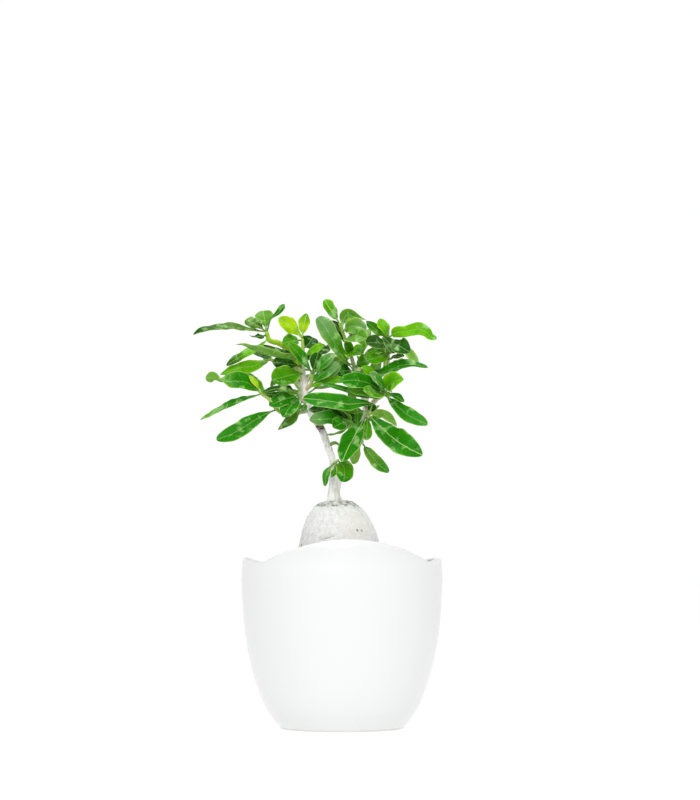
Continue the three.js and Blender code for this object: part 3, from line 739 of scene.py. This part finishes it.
def paired_leaves(stem, length, seed, short):
    """Opposite leaves in pairs, each pair a quarter turn from the last, for a shoot that the front hides.

    short lists the leaves that have stayed short.
    """
    points = [Vector(p) for p in stem]
    along = (points[-1] - points[0]).normalized()
    level = along.cross(Vector((0, 0, 1))).normalized()
    face = along + Vector((0, 0, 1))
    made = []
    for pair in range(PAIRS):
        at = 1 - (PAIRS - 1 - pair) * PAIR_STEP
        for half in range(2):
            draw = seed + pair * 2 + half
            turn = pair * 90 + half * 180 + 25 * vary(draw)
            outward = Matrix.Rotation(math.radians(turn), 3, along) @ level
            spread = math.radians(PAIR_SPREAD[pair] + 8 * vary(draw + 0.3))
            reach = along * math.cos(spread) + outward * math.sin(spread)
            reach *= length * (1 - 0.1 * pair + 0.12 * vary(draw + 0.6))
            if len(made) in short:
                reach *= SHORT_LEAF
            end = curve_point(points, min(at, LAST_LEAF)) + reach
            width = length * (0.3 + 0.04 * vary(draw + 0.9))
            tone = BACK_TONES[int((vary(draw + 0.5) + 1) / 2 * len(BACK_TONES))]
            made.append(Leaf(at, end, width, face, tone, bow=0.08, wave=0.4, phase=vary(draw)))
    return made


def blade_half_width(u, leaf):
    """Half the blade's width at u, from 0 at the end of its petiole to 1 at its tip."""
    if u < leaf.widest:
        shape = math.sin(u / leaf.widest * math.pi / 2) ** (leaf.full * 1.45)
    else:
        shape = math.cos((u - leaf.widest) / (1 - leaf.widest) * math.pi / 2) ** leaf.point
    return max(leaf.width * shape / 2, PETIOLE_RADIUS * (1 - u) ** 0.5)


def leaf_rows(blade_start):
    """Places along the leaf of its rows of points, closer together towards the tip."""
    rows = [blade_start * k / PETIOLE_RINGS for k in range(PETIOLE_RINGS)]
    for k in range(BLADE_RINGS + 1):
        even = k / BLADE_RINGS
        rows.append(blade_start + (1 - blade_start) * (even + math.sin(even * math.pi / 2)) / 2)
    return rows


def even_line(points):
    """A smooth curve through the points, with t in even steps of its length, and a little past its ends."""
    line = smooth_line(points, 60)
    reached = [0]
    for a, b in zip(line, line[1:]):
        reached.append(reached[-1] + (b - a).length)

    def at(t):
        goal = t * reached[-1]
        k = min(max(bisect.bisect_right(reached, goal) - 1, 0), len(line) - 2)
        return line[k].lerp(line[k + 1], (goal - reached[k]) / (reached[k + 1] - reached[k]))

    return at


def add_leaf(bm, stem, leaf):
    """Grows a leaf from its twig, and writes its colour and the place on the blade of each point."""
    tone_layer = bm.verts.layers.float_color["tone"]
    place_layer = bm.verts.layers.float_vector["blade_place"]
    under_layer = bm.verts.layers.float["underside"]
    root = curve_point([Vector(p) for p in stem], min(leaf.at, LAST_LEAF))
    reach = Vector(leaf.end) - root
    length = reach.length
    straight = reach.normalized()
    upward = Vector(leaf.face)
    up = (upward - straight * upward.dot(straight)).normalized()
    blade_start = min(PETIOLE / length, 0.3)
    rows = leaf_rows(blade_start)
    own = Vector(leaf.end) * 0.37
    fold = math.radians(leaf.fold)
    through = even_line([root, *leaf.via, leaf.end]) if leaf.via else None

    def midline(t):
        if through:
            return through(t)
        return root + reach * t + up * (4 * leaf.bow * t * (1 - t)) * length

    frames = []
    for t in rows:
        along = (midline(t + 0.01) - midline(t - 0.01)).normalized()
        side = along.cross(upward).normalized()
        turned_by = math.radians(leaf.twist) * max(t - leaf.twists_from, 0) / (1 - leaf.twists_from)
        side.rotate(Matrix.Rotation(turned_by, 3, along))
        frames.append((midline(t), side, side.cross(along)))

    def place(vert, ring, turn):
        middle, side, normal = frames[ring]
        u = min(max((rows[ring] - blade_start) / (1 - blade_start), 0), 1)
        opened = math.sin(math.pi * u) ** 0.5
        width = blade_half_width(u, leaf)
        across = math.copysign(abs(math.cos(turn)) ** (1 + 0.6 * opened), math.cos(turn))
        upper = math.copysign(abs(math.sin(turn)) ** (1 - 0.5 * opened), math.sin(turn))
        thick = PETIOLE_RADIUS * 0.9 + (BLADE / 2 - PETIOLE_RADIUS * 0.9) * smooth_step(u, 0, 0.12)
        if ring in (0, len(rows) - 1):
            across, upper = 0, 0
        ripples = EDGE_WAVES * u + leaf.phase + (EDGE_SHIFT if across > 0 else 0)
        wave = leaf.wave * opened * math.sin(math.tau * ripples)
        spot = Vector((u * length / CRUMPLE_SCALE, across * width / CRUMPLE_SCALE, 0)) + own
        hem = Vector((u * length / HEM_SCALE, math.copysign(3, across), 0)) + own
        width *= 1 + HEM_WAVER * abs(across) * noise.noise(hem)
        lift = math.sin(fold) * width * abs(across) ** 1.25 + wave * across ** 2
        lift += opened * (CRUMPLE * noise.noise(spot) + HEM_CRIMP * across ** 4 * noise.noise(hem * 1.3))
        lift += upper * thick
        rib = math.exp(-(across * width / RIB_WIDTH) ** 2) * smooth_step(u, 0, 0.1)
        lift -= rib * (RIB_DEPTH if upper > 0 else RIB_SWELL * (1 - u) ** 0.6) if upper else 0
        vert.co = middle + side * across * width * math.cos(fold) + normal * lift
        tone = leaf.tone.lerp(leaf.tip or leaf.tone, smooth_step(u, 0.4, 0.95))
        if upper < 0:
            tone = tone.lerp(UNDERSIDE, 0.6)
        vert[tone_layer] = (*tone, leaf.rib)
        vert[place_layer] = Vector((u * length, across, width))
        vert[under_layer] = 1 if upper < 0 else 0

    grown(bm, len(rows) - 1, LEAF_SIDES, place)


def waxy_leaf():
    material, shader = blank_material("waxy_leaf")
    where = place_on(shader)
    tone = written(shader, "tone", "Color")
    along, across, width = join("SeparateXYZ", {0: written(shader, "blade_place", "Vector")}).outputs
    from_middle = maths("ABSOLUTE", across)
    from_rib = maths("ABSOLUTE", times(across, width))
    cloud = grain(where, 130)
    fine = grain(where, 1400, 3, 0.6)
    tone = mix(remap(cloud, 0.38, 0.66, 0, 0.6), tone, CLOUD_SHADE, "MULTIPLY")
    tone = mix(remap(fine, 0.4, 0.7, 0, 0.25), tone, FINE_SHADE, "MULTIPLY")
    # Lighter towards the blade's edges: partly its own paler margin, partly painted light showing through
    # the thin edge.
    patch = remap(grain(where, 75, 2), 0.4, 0.62, 0.15, 1)
    margin_and_glow = times(remap(from_middle, 0.45, 1, 0, 0.85), patch)
    tone = mix(margin_and_glow, tone, MARGIN_AND_EDGE_GLOW, "MULTIPLY")
    # Painted sheen: pale patches stand in for the soft highlights on the glossy blade.
    sheen_patch = remap(grain(where, 170, 3, 0.55), 0.55, 0.7, 0, 0.6)
    tone = mix(sheen_patch, tone, PAINTED_SHEEN_PATCH)
    slant = maths("SUBTRACT", along, times(from_rib, 0.75))
    wobble = maths("ADD", slant, remap(grain(where, 260, 2), 0, 1, -0.7, 0.7))
    vein = remap(maths("PINGPONG", wobble, VEIN_SPACING / 2), 0, 0.28, 1, 0)
    vein = times(vein, remap(from_middle, 0.55, 0.95, 1, 0))
    midrib = times(remap(from_rib, 0.08, 0.32, 1, 0), written(shader, "tone", "Alpha"))
    rim = remap(from_middle, 0.88, 1, 0, 0.55)
    for share in (times(vein, 0.06), midrib, rim):
        tone = mix(share, tone, PALE_VEIN)
    under = times(written(shader, "underside", "Fac"), 0.3)
    rough = maths("ADD", remap(cloud, 0.35, 0.65, 0.3, 0.42), under)
    feed(shader, {"Base Color": tone, "Roughness": rough, "Specular IOR Level": 0.05})
    swell = times(grain(where, 320, 2), 2)
    height = maths("SUBTRACT", swell, times(vein, 0.25))
    relief(shader, maths("ADD", height, times(fine, 0.03)), 0.00025, 0.22)
    return material


def green_twig():
    material, shader = blank_material("green_twig")
    tone = written(shader, "tone", "Color")
    mottle = grain(place_on(shader), 700, 4, 0.6)
    tone = mix(remap(mottle, 0.5, 0.72, 0, 0.4), tone, TWIG_BROWN)
    feed(shader, {"Base Color": tone, "Roughness": 0.55})
    relief(shader, mottle, 0.0003, 0.6)
    return material


def add_twig(bm, stem, radii, tone, root_tone):
    """A twig that swells a little at its nodes and fades from its root's colour to its own."""
    first = len(bm.faces)
    layer = bm.verts.layers.float_color["tone"]
    before = set(bm.verts)
    spans = len(stem) - 1

    def swell(t):
        place = t * spans * TWIG_NODES
        return 1 + NODE_SWELLING * math.exp(-((place - round(place)) / 0.11) ** 2)

    add_branch(bm, stem, radii, TWIG_SIDES, TWIG_RINGS * spans, swell)
    for vert in set(bm.verts) - before:
        greened = smooth_step((vert.co - Vector(stem[0])).length, 1, GREEN_AFTER)
        vert[layer] = (*root_tone.lerp(tone, greened), 0)
    bm.faces.ensure_lookup_table()
    for face in bm.faces[first:]:
        face.material_index = 1


LEAF_SKIN = waxy_leaf()
TWIG_SKIN = green_twig()


def make_shoot(name, radii, stem, *leaves, twig=TWIG_GREEN, root=PALE_TWIG):
    """One leafy shoot, which stands for the solid of that name."""
    bm = bmesh.new()
    bm.verts.layers.float_color.new("tone")
    bm.verts.layers.float_vector.new("blade_place")
    bm.verts.layers.float.new("underside")
    for leaf in leaves:
        add_leaf(bm, stem, leaf)
    add_twig(bm, stem, radii, twig, root)
    shoot = piece(name + "_grown", bm, LEAF_SKIN, 75)
    shoot.data.materials.append(TWIG_SKIN)
    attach(shoot, "root")
    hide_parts(name)


make_shoot(
    "shoot_upper_left", (1.4, 1.7, 1.1),
    [(-20.8, 0.6, 190), (-25.4, 3, 200), (-29.2, 2, 208.6), (-35.3, 0, 212.2), (-40.2, -2, 213.6),
     (-41.8, -3, 218.6)],
    Leaf(1, (-82, -8, 216.2), 10, (0, -4, 8), OLIVE, fold=14, rib=0.05, tip=DEEP, widest=0.46, point=0.5,
         via=[(-52.4, -4, 219.2), (-60.6, -6, 220.2), (-68.8, -7, 219.6), (-76.5, -8, 218.4)]),
    Leaf(0.98, (-53.6, 2, 225.2), 8.4, (2, -8, 4), OLIVE, wave=0.8, full=0.5),
    Leaf(1, (-44, 6, 230.5), 10.5, (0, -9, 3), SAGE, wave=0.7),
    Leaf(0.97, (-31.7, -7, 233.2), 3.4, (2, -8, 2), RICH, widest=0.84, full=1.7,
         via=[(-39.4, -4, 225), (-35.5, -5, 228.5)]),
    Leaf(0.92, (-51, -9, 215.7), 4.4, (0, -7, 5), DEEP, widest=0.25, point=2.2, via=[(-46.2, -7, 215.1)]),
    Leaf(0.84, (-63.4, -12, 198.7), 5.6, (-2, -8, 4), FRESH, tip=DEEP, full=0.5, point=0.45,
         via=[(-46.2, -9, 209.3), (-52.3, -10, 205.8), (-57.9, -11, 202.4)]),
    twig=LIME,
)
make_shoot(
    "shoot_left_upper", (1.1, 0.9),
    [(-20.5, 0, 186.6), (-27.5, 0.4, 193), (-34, 0, 199.5), (-40, -2, 203.4)],
    Leaf(1, (-67.2, -10, 193.9), 7.4, (-1, -9, 3), FRESH, full=0.5, widest=0.42, point=0.8,
         via=[(-48.4, -7, 199.1), (-57.2, -9, 197.5)]),
    Leaf(0.95, (-44.5, -7, 199.5), 3, (0, -6, 6), SAGE),
    Leaf(0.7, (-52.5, 16, 208), 7, (0, -5, 9), DEEP),
    Leaf(0.65, (-28, 18, 211.5), 8, (0, -3, 9), MID),
)
make_shoot(
    "shoot_left", (1.2, 1.1, 0.8),
    [(-18.2, -2, 174.6), (-27.6, -7.6, 172.8), (-34, -11, 173.6), (-37, -14, 176.2), (-40.2, -16, 180.4),
     (-44.4, -17, 183.2)],
    Leaf(1, (-74.4, -24, 191.4), 11.2, (-1, -8, 4), RICH, tip=PALE, widest=0.36, full=0.5, twist=165,
         twists_from=0.6, point=0.36,
         via=[(-51.3, -20, 188.8), (-58.8, -23, 189.7), (-65.3, -24, 189.3), (-70.1, -25, 191.3)]),
    Leaf(0.97, (-50.8, -22, 192.8), 3.2, (4, -8, 3), LIME),
    Leaf(0.99, (-77.8, -14, 168.8), 7.4, (-1, -5, 8), RICH, rib=0.05, tip=MID, widest=0.42, point=0.8,
         full=0.5, via=[(-51.4, -16, 180.8), (-56.9, -16, 178.8), (-63.7, -15, 176.1), (-70.9, -14, 172.5)]),
    Leaf(0.5, (-68.2, -26, 157.5), 10.6, (-2, -9, 3), RICH, wave=0.3, rib=0.3, full=0.75, widest=0.62,
         point=0.5, via=[(-41.3, -16, 172.3), (-46.7, -20, 169), (-53.3, -23, 164.7), (-59.3, -25, 161)]),
    Leaf(0.75, (-58.5, 6, 196), 9, (0, -5, 9), MID),
    Leaf(0.3, (-33, 18, 180), 7, (-2, -6, 7), RICH),
)
make_shoot(
    "shoot_centre_left", (1.1, 0.8),
    [(-21.2, 0, 194.2), (-21.5, -1, 203.5), (-21.6, -3, 209.5), (-22, -5, 214.6)],
    Leaf(0.3, (-58.1, -22, 209.7), 8, (0, 4, 8), SAGE, tip=SHEEN, widest=0.36, point=0.8,
         via=[(-34, -12, 204.1), (-42.1, -16, 205.8), (-49.1, -19, 208.3), (-54, -21, 209.8)]),
    Leaf(1, (-35, -9, 225.4), 9.6, (3, -8, 3), LIME, full=0.55, widest=0.55),
    Leaf(1, (-19.5, -8, 228), 7.2, (-4, -9, 0), LIME, tip=FRESH, rib=0.6, full=0.55, widest=0.52,
         via=[(-21.1, -7, 220.9)]),
    Leaf(1, (-27.3, -6, 226), 1.6, (0, -8, 1), PALE, via=[(-24.9, -6, 220.4)]),
    Leaf(0.92, (-32.8, -8, 211.4), 9.6, (-2, -8, 4), MID, widest=0.5, full=0.26),
    Leaf(0.62, (-16.4, 6, 215.8), 10.4, (1, -9, 3), DEEP, full=0.4, point=0.42, widest=0.55,
         via=[(-18.6, 2, 211.9)]),
    Leaf(0.2, (-17.7, 3, 206.5), 5.4, (0, -9, 3), DEEP, full=0.5),
    Leaf(0.35, (-43.8, -6, 210.5), 5, (0, -5, 7), DEEP, tip=SLATE,
         via=[(-31.4, -4, 206.3), (-38.6, -5, 208.5)]),
    Leaf(0.35, (-9.5, -10, 210.5), 5.6, (-3, -8, 4), FRESH),
    Leaf(0.4, (-6.5, 4, 209.5), 7.5, (0, -8, 5), DEEP),
    Leaf(0.04, (-38.5, -11.5, 190.8), 12.8, (2, -9, 4), MID, wave=1, full=0.5, point=0.45),
    Leaf(0.15, (-38.5, -4, 201), 9.5, (0, -8, 5), DEEP, wave=0.8),
    twig=YOUNG_TWIG,
)
make_shoot(
    "shoot_left_middle", (1.2, 0.9), [(-19.6, -1.4, 178.4), (-23, -5.4, 181.4), (-24, -9, 184.6)],
    Leaf(1, (-43.4, -20, 183.7), 4.6, (0, -8, 5), DEEP, full=0.4, via=[(-33.1, -17, 186.2)]),
    Leaf(0.7, (-39.8, -17, 176.5), 9.4, (-1, -9, 4), RICH, wave=0.7, full=0.5),
    Leaf(0.6, (-32, -21, 170), 10.6, (-2, -9, 3), RICH, full=0.5),
    Leaf(0.3, (-35.2, -15, 163.4), 8, (5, -8, -1), SAGE, fold=32, tip=SLATE, widest=0.5, point=0.9),
    Leaf(0.9, (-34.2, -2, 188), 4.6, (0, -6, 6), DEEP),
    Leaf(0.1, (-21.6, -9, 174.2), 4.4, (0, -9, 3), RICH, full=0.5),
    Leaf(0.4, (-42.7, -6, 183.1), 5, (0, -8, 4), DEEP, full=0.5),
)
make_shoot(
    "shoot_middle", (1.1, 0.9), [(-20.3, -0.4, 185.6), (-17, -4.4, 189.6), (-16.4, -7.5, 194.6)],
    Leaf(1, (-29.4, -16, 211), 7.4, (4, -8, 3), RICH, tip=MID, full=0.55),
    Leaf(0.9, (-3.5, -14, 205), 7.6, (-3, -8, 4), JADE, tip=SHEEN),
    Leaf(0.5, (-1.5, -16, 199.5), 9.4, (-2, -8, 4), JADE, tip=SHEEN, full=0.5),
    Leaf(0.95, (-13, -9, 206.5), 8, (0, -9, 2), DEEP),
    Leaf(0.1, (4.9, -12, 190.7), 5.4, (0, -9, 4), FRESH, tip=MID, full=0.7,
         via=[(-13.8, -7, 189.2), (-6.6, -10, 191)]),
    Leaf(0.7, (-0.6, -8, 198.8), 9, (0, -9, 4), JADE, tip=SHEEN, full=0.5, via=[(-11, -8, 194.4)]),
    root=TAN_TWIG,
)
make_shoot(
    "shoot_centre_low", (1.1, 0.8), [(9.4, -3.2, 163.4), (6.4, -8.4, 166.6), (2, -13, 169.3)],
    Leaf(1, (-18.5, -12, 174.5), 9, (0, -6, 8), DEEP),
    Leaf(0.9, (-17.8, -20, 168.4), 10, (0, -8, 5), RICH, tip=SHEEN, wave=0.9, full=0.5),
    Leaf(0.8, (-5, -22, 164.5), 9, (2, -8, 4), RICH),
    Leaf(0.6, (-1, -18, 174.5), 8, (0, -5, 8), RICH),
    Leaf(0.5, (-4, -14, 166.5), 7, (-1, -7, 5), DEEP),
    Leaf(0.7, (-11, -10, 176.5), 7.4, (0, -8, 5), DEEP, full=0.5, via=[(-3.3, -12, 175)]),
    Leaf(0.2, (0, -9, 175.4), 7, (1, -8, 4), DEEP, full=0.5),
    Leaf(0.05, (9.1, 3, 176.5), 7, (0, -8, 4), MID, full=0.4, via=[(8.6, 2, 170.1)]),
    Leaf(0.8, (-8.6, -8, 160.9), 2, (0, -7, 6), SAGE, via=[(1.9, -10, 163.8), (-3.3, -9, 161.6)]),
    twig=MID, root=SAGE,
)
make_shoot(
    "shoot_front_right", (1.2, 0.9), [(12.8, -4, 170.6), (13.8, -10.4, 171.8), (15.4, -16, 173.6)],
    Leaf(0.6, (43.7, -26, 149.1), 14.2, (1, -9, 3), RICH, wave=0.3, rib=0.8, full=0.45,
         via=[(21.8, -14, 164.5), (28, -20, 158.7), (34.9, -24, 153.8)]),
    Leaf(0.5, (30.2, -2, 166.1), 5.4, (3, -8, 2), PALE, widest=0.5, full=0.5,
         via=[(20.6, -4, 173.1), (25.4, -3, 171.2)]),
    Leaf(0.5, (20.7, -5, 177.5), 1.8, (2, -9, 1), PALE, widest=0.4, full=0.4),
    Leaf(0.55, (17.3, -8, 178.2), 5.4, (2, -9, 1), SLATE, full=0.25),
    Leaf(0.3, (0, -26, 145.5), 12.8, (-3, -9, 2), RICH, bow=0.04, rib=0.8),
    Leaf(0.4, (13.1, -15, 157.7), 6.4, (3, -8, 0), MID, full=0.5, point=0.45),
    Leaf(1, (-21.4, -20, 180.4), 10.8, (0, -8, 4), RICH, wave=0.6, rib=0.5, full=0.66, point=0.5,
         via=[(16.2, -18, 177.1), (11.5, -20, 177.7), (4.4, -20, 177.3), (-4.4, -21, 178.4),
              (-14.2, -21, 179.8)]),
    Leaf(0.9, (-2.4, -13, 174.6), 3.8, (0, -8, 4), MID, full=0.5, via=[(5.5, -14, 174.1)]),
)
make_shoot(
    "shoot_front_right_low", (1, 0.8), [(8.9, -3, 162), (10.8, -6.6, 159.6), (11.2, -7.6, 156.3)],
    Leaf(1, (25.7, -13, 140.2), 7.6, (3, -9, 2), SAGE, tip=JADE, full=0.36, widest=0.55, point=0.55,
         via=[(15.3, -11, 150.2), (20.4, -12, 144.2)]),
    Leaf(0.8, (6, -4, 145), 5.8, (-2, -9, 1), PALE),
)
make_shoot(
    "shoot_right", (1.1, 0.9), [(18, -2.2, 180.2), (21.8, -7.4, 182.2), (23.8, -13, 184)],
    Leaf(0.95, (-0.3, -26, 189.7), 9.4, (1, -9, 3), RICH, full=0.5, wave=0.5, point=0.4, widest=0.7,
         via=[(10.9, -22, 189.8)]),
    Leaf(0.7, (11.7, -30, 183.9), 9.4, (1, -8, 5), FRESH, tip=MID, fold=16, full=0.45, point=0.42,
         via=[(17.4, -24, 182.9)]),
    Leaf(1, (33.6, -26, 190.4), 12, (-1, -9, 3), FRESH, full=0.4, widest=0.48, point=0.8,
         via=[(26.7, -20, 189.1)]),
    Leaf(0.9, (34.1, -17, 178.7), 4.4, (3, -8, 2), RICH, full=0.5, via=[(29, -17, 181.9)]),
    Leaf(0.8, (46.7, -20, 166), 9, (2, -9, 3), RICH, tip=JADE, full=0.6, point=0.5,
         via=[(31, -17, 175.5), (36, -19, 171.4)]),
    Leaf(0.98, (14.9, -28, 193.4), 8.6, (2, -8, 5), JADE, tip=SHEEN, full=0.5),
    Leaf(0.2, (-14.2, -16, 189.3), 4, (0, -8, 5), RICH, full=0.4, point=1.2,
         via=[(10.4, -14, 182.5), (4.4, -16, 184.4), (-4.4, -17, 187.1)]),
    Leaf(0.97, (10.7, -18, 198), 7, (4, -8, 4), FRESH, full=0.6, via=[(16.4, -16, 193.7)]),
    Leaf(0.9, (2.7, -18, 186.4), 7.6, (0, -8, 5), MID, full=0.5, via=[(10.9, -18, 184.5)]),
)
make_shoot(
    "shoot_upper_right", (1.1, 0.8),
    [(25.1, 2.9, 193.6), (25.5, 0, 203.5), (25.5, -4, 209.5), (25.6, -8, 214.8)],
    Leaf(1, (19.9, -14, 224.1), 7, (2, -8, 4), FRESH, full=0.4, widest=0.55, point=0.42,
         via=[(23.8, -12, 218.5)]),
    Leaf(0.95, (13.2, -11, 223.6), 6, (0, -9, 3), MID, tip=RICH, full=0.5, widest=0.5, point=0.8,
         via=[(20.3, -9, 217.8), (16.5, -10, 220.5)]),
    Leaf(1, (51.9, -16, 213.4), 7.4, (0, -9, 2), FRESH, wave=1.1, full=0.22, widest=0.4, point=0.42,
         via=[(30.2, -12, 217.2), (34.5, -14, 217.4), (38.3, -15, 218.1), (42.1, -16, 218.6),
              (46, -16, 217.1), (48.6, -16, 214.5)]),
    Leaf(1, (25.7, -9, 222.2), 1.4, (0, -8, 1), PALE),
    Leaf(0.45, (22.5, -24, 213.6), 7.6, (0, -9, 3), SLATE, full=0.35, point=0.42, via=[(27, -20, 209)]),
    Leaf(0.85, (36.9, -22, 205.6), 10.6, (1, -9, 3), DEEP, wave=0.6, full=0.4, point=0.5,
         via=[(31.4, -20, 209)]),
    Leaf(0.75, (13.3, -22, 210.5), 10, (0, -9, 3), SLATE, full=0.5, point=0.42),
    Leaf(0.5, (12, -12, 203), 7, (0, -2, 9), FRESH),
    Leaf(0.4, (13.1, -20, 200.6), 10.6, (0, -9, 3), FRESH, tip=MID, full=0.5, wave=0.7),
    Leaf(0.6, (42.4, 2, 201.4), 6, (1, -8, 4), PALE, via=[(34.3, 0, 208)]),
    Leaf(0.3, (34.2, -14, 203.9), 4.6, (0, -8, 4), SLATE, full=0.5),
    Leaf(0.4, (11.8, -15, 203.5), 3.6, (0, -9, 3), FRESH, tip=MID,
         via=[(20.8, -12, 207.6), (15.9, -14, 206.6)]),
)
make_shoot(
    "shoot_top", (1.2, 1, 0.8),
    [(7.7, 0.7, 195), (5.6, 0, 203), (3.3, -2, 209), (1.3, -5, 215), (-1.7, -7, 223.4)],
    Leaf(1, (-9.8, -10, 235.3), 7, (3, -8, 2), MID, tip=FRESH, rib=0.7, full=0.28, widest=0.66, point=0.42,
         via=[(-6.3, -9, 229.7)]),
    Leaf(0.8, (13.6, -11, 224.2), 7.6, (0, -9, 2), SAGE, fold=18, widest=0.43, point=1.5, full=1.2,
         via=[(0.3, -7, 219.3), (0.6, -8, 223.6), (2.5, -9, 226.9), (7.5, -10, 225.6)]),
    Leaf(0.85, (13.3, -17, 218.3), 10, (0, -9, 3), SAGE, tip=SHEEN, full=0.4, wave=0.6, point=0.42,
         via=[(5.5, -14, 220.5)]),
    Leaf(0.7, (13.5, -24, 212.7), 11, (1, -9, 3), SAGE, full=0.5, wave=0.8, via=[(7.1, -19, 214.8)]),
    Leaf(0.45, (10.8, -16, 204.9), 14, (1, -9, 3), FRESH, tip=MID, full=0.4, wave=0.6, point=0.45),
    Leaf(0.02, (-13.4, -14, 225.6), 10.8, (3, -9, 3), MID, wave=0.5, tip=SHEEN, widest=0.74, full=1.1,
         point=0.42, via=[(3, -6, 200.9), (-1.3, -10, 206.4), (-5, -13, 212.5), (-8.8, -14, 219)]),
    Leaf(0.3, (1.1, -13, 210.9), 8, (1, -9, 3), MID, full=0.5),
    Leaf(0.1, (16.3, -6, 204.3), 7, (0, -9, 3), MID, tip=JADE, full=0.4),
    Leaf(0.02, (-3.7, 2, 194.7), 5, (0, -9, 3), DEEP, full=0.4),
    Leaf(0.05, (-1.4, -4, 196.1), 9, (0, -9, 4), DEEP, tip=JADE, full=0.5),
    Leaf(0.5, (-6.4, -5, 224.1), 4.4, (1, -9, 3), DEEP, full=0.5, via=[(-2.8, -6, 221)]),
    Leaf(0.04, (47, -18, 197.3), 9.2, (0, -6, 8), RICH, full=0.5, point=0.6,
         via=[(20.8, -13, 194.7), (27.9, -15, 197.1), (34.5, -16, 199.2), (41, -17, 198.7)]),
    Leaf(0.6, (-6.5, 12, 223), 8, (-1, -6, 8), DEEP),
)
make_shoot(
    "shoot_low", (1, 0.8), [(-5, -0.8, 145), (-3.8, -5, 146), (-2, -8.5, 147)],
    Leaf(0.5, (-9.4, -8, 132.6), 4.6, (-4, -8, 2), JADE, widest=0.5, via=[(-7.9, -8, 141.1)]),
    Leaf(0.95, (0.9, -20, 134.7), 10.2, (1, -9, 3), MID, tip=RICH, full=0.2, point=0.42,
         via=[(1.2, -15, 142.5)]),
    Leaf(0.7, (-6, -10, 137.5), 3.4, (6, -6, 1), MID),
)
for k, (name, (stem, length, short)) in enumerate(BACK_SHOOTS.items()):
    make_shoot(name, (1.1, 0.8), stem, *paired_leaves(stem, length, 10 * k + 3, short))


# Trunk bud
# A curled green bud on the stem, below the crown, where a new shoot begins. It is soft like the
# twigs, and grows from the bark.

BUD_LINE = [(-6.8, -1.6, 154.8), (-5.4, -3.4, 156.4), (-3.6, -4.6, 156.7), (-1, -5, 155.2)]
BUD_RADII = (0.5, 1, 0.9, 0.4)
BUD_ROOT = colour(112, 146, 64)


def make_bud():
    bm = bmesh.new()
    bm.verts.layers.float_color.new("tone")
    add_twig(bm, BUD_LINE, BUD_RADII, JADE, BUD_ROOT)
    for face in bm.faces:
        face.material_index = 0
    return piece("trunk_bud", bm, TWIG_SKIN, 80)


trunk_bud = make_bud()
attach(trunk_bud, "root")


# Studio
# A plain white table under soft white light, with the camera level with the pot's rim, a metre and a
# half away. It belongs to the picture, not to the object.

FLOOR_REACH = 6
EYE = Vector((0, -1.5, 0.102))
AIM = Vector((0.0044, 0, 0.1806))
PICTURE_HEIGHT = 0.4424
TABLE_GLOW = 0.925
TABLE_GREY = (0.16, 0.16, 0.16, 1)
WHITE = (1, 1, 1, 1)
CEILING = 0.42
LIGHTS_AIM = Vector((0, 0, 0.12))
LIGHTS = [("key", (-0.08, -1.32, 0.95), 0.7, 9.8), ("fill", (0.9, -1.2, 0.9), 1.0, 1.5),
          ("top", (-0.05, 0.1, 1.3), 0.7, 11)]


def white_table():
    """A sheet of white acrylic, lit from below so that it stays white to its edge."""
    material, shader = blank_material("white_table")
    feed(shader, {"Base Color": TABLE_GREY, "Emission Color": WHITE, "Emission Strength": TABLE_GLOW,
                  "Roughness": 0.9, "Specular IOR Level": 0})
    return material


def stand(name, data, spot, aim):
    """Puts a lamp or a camera at its spot and turns it to its aim."""
    held = bpy.data.objects.new(name, data)
    held.location = spot
    held.rotation_euler = (aim - spot).to_track_quat("-Z", "Y").to_euler()
    bpy.context.scene.collection.objects.link(held)
    return held


floor_bm = bmesh.new()
bmesh.ops.create_grid(floor_bm, x_segments=1, y_segments=1, size=FLOOR_REACH * 1000)
piece("table", floor_bm, white_table())

world = bpy.data.worlds.new("studio")
world.use_nodes = True
sky = world.node_tree
direction = join("SeparateXYZ", {0: add(sky, "TexCoord").outputs["Generated"]}).outputs["Z"]
ceiling = remap(direction, 0.21, 0.42, 1.02, CEILING)
feed(sky.nodes["Background"], {"Color": WHITE, "Strength": ceiling})
bpy.context.scene.world = world
bpy.context.scene.view_settings.view_transform = "Standard"

for name, spot, size, power in LIGHTS:
    lamp = bpy.data.lights.new(name, "AREA")
    lamp.shape = "DISK"
    lamp.size = size
    lamp.energy = power
    stand(name, lamp, Vector(spot), LIGHTS_AIM)

lens = bpy.data.cameras.new("camera")
lens.lens = lens.sensor_width * (AIM - EYE).length / PICTURE_HEIGHT
bpy.context.scene.camera = stand("camera", lens, EYE, AIM)
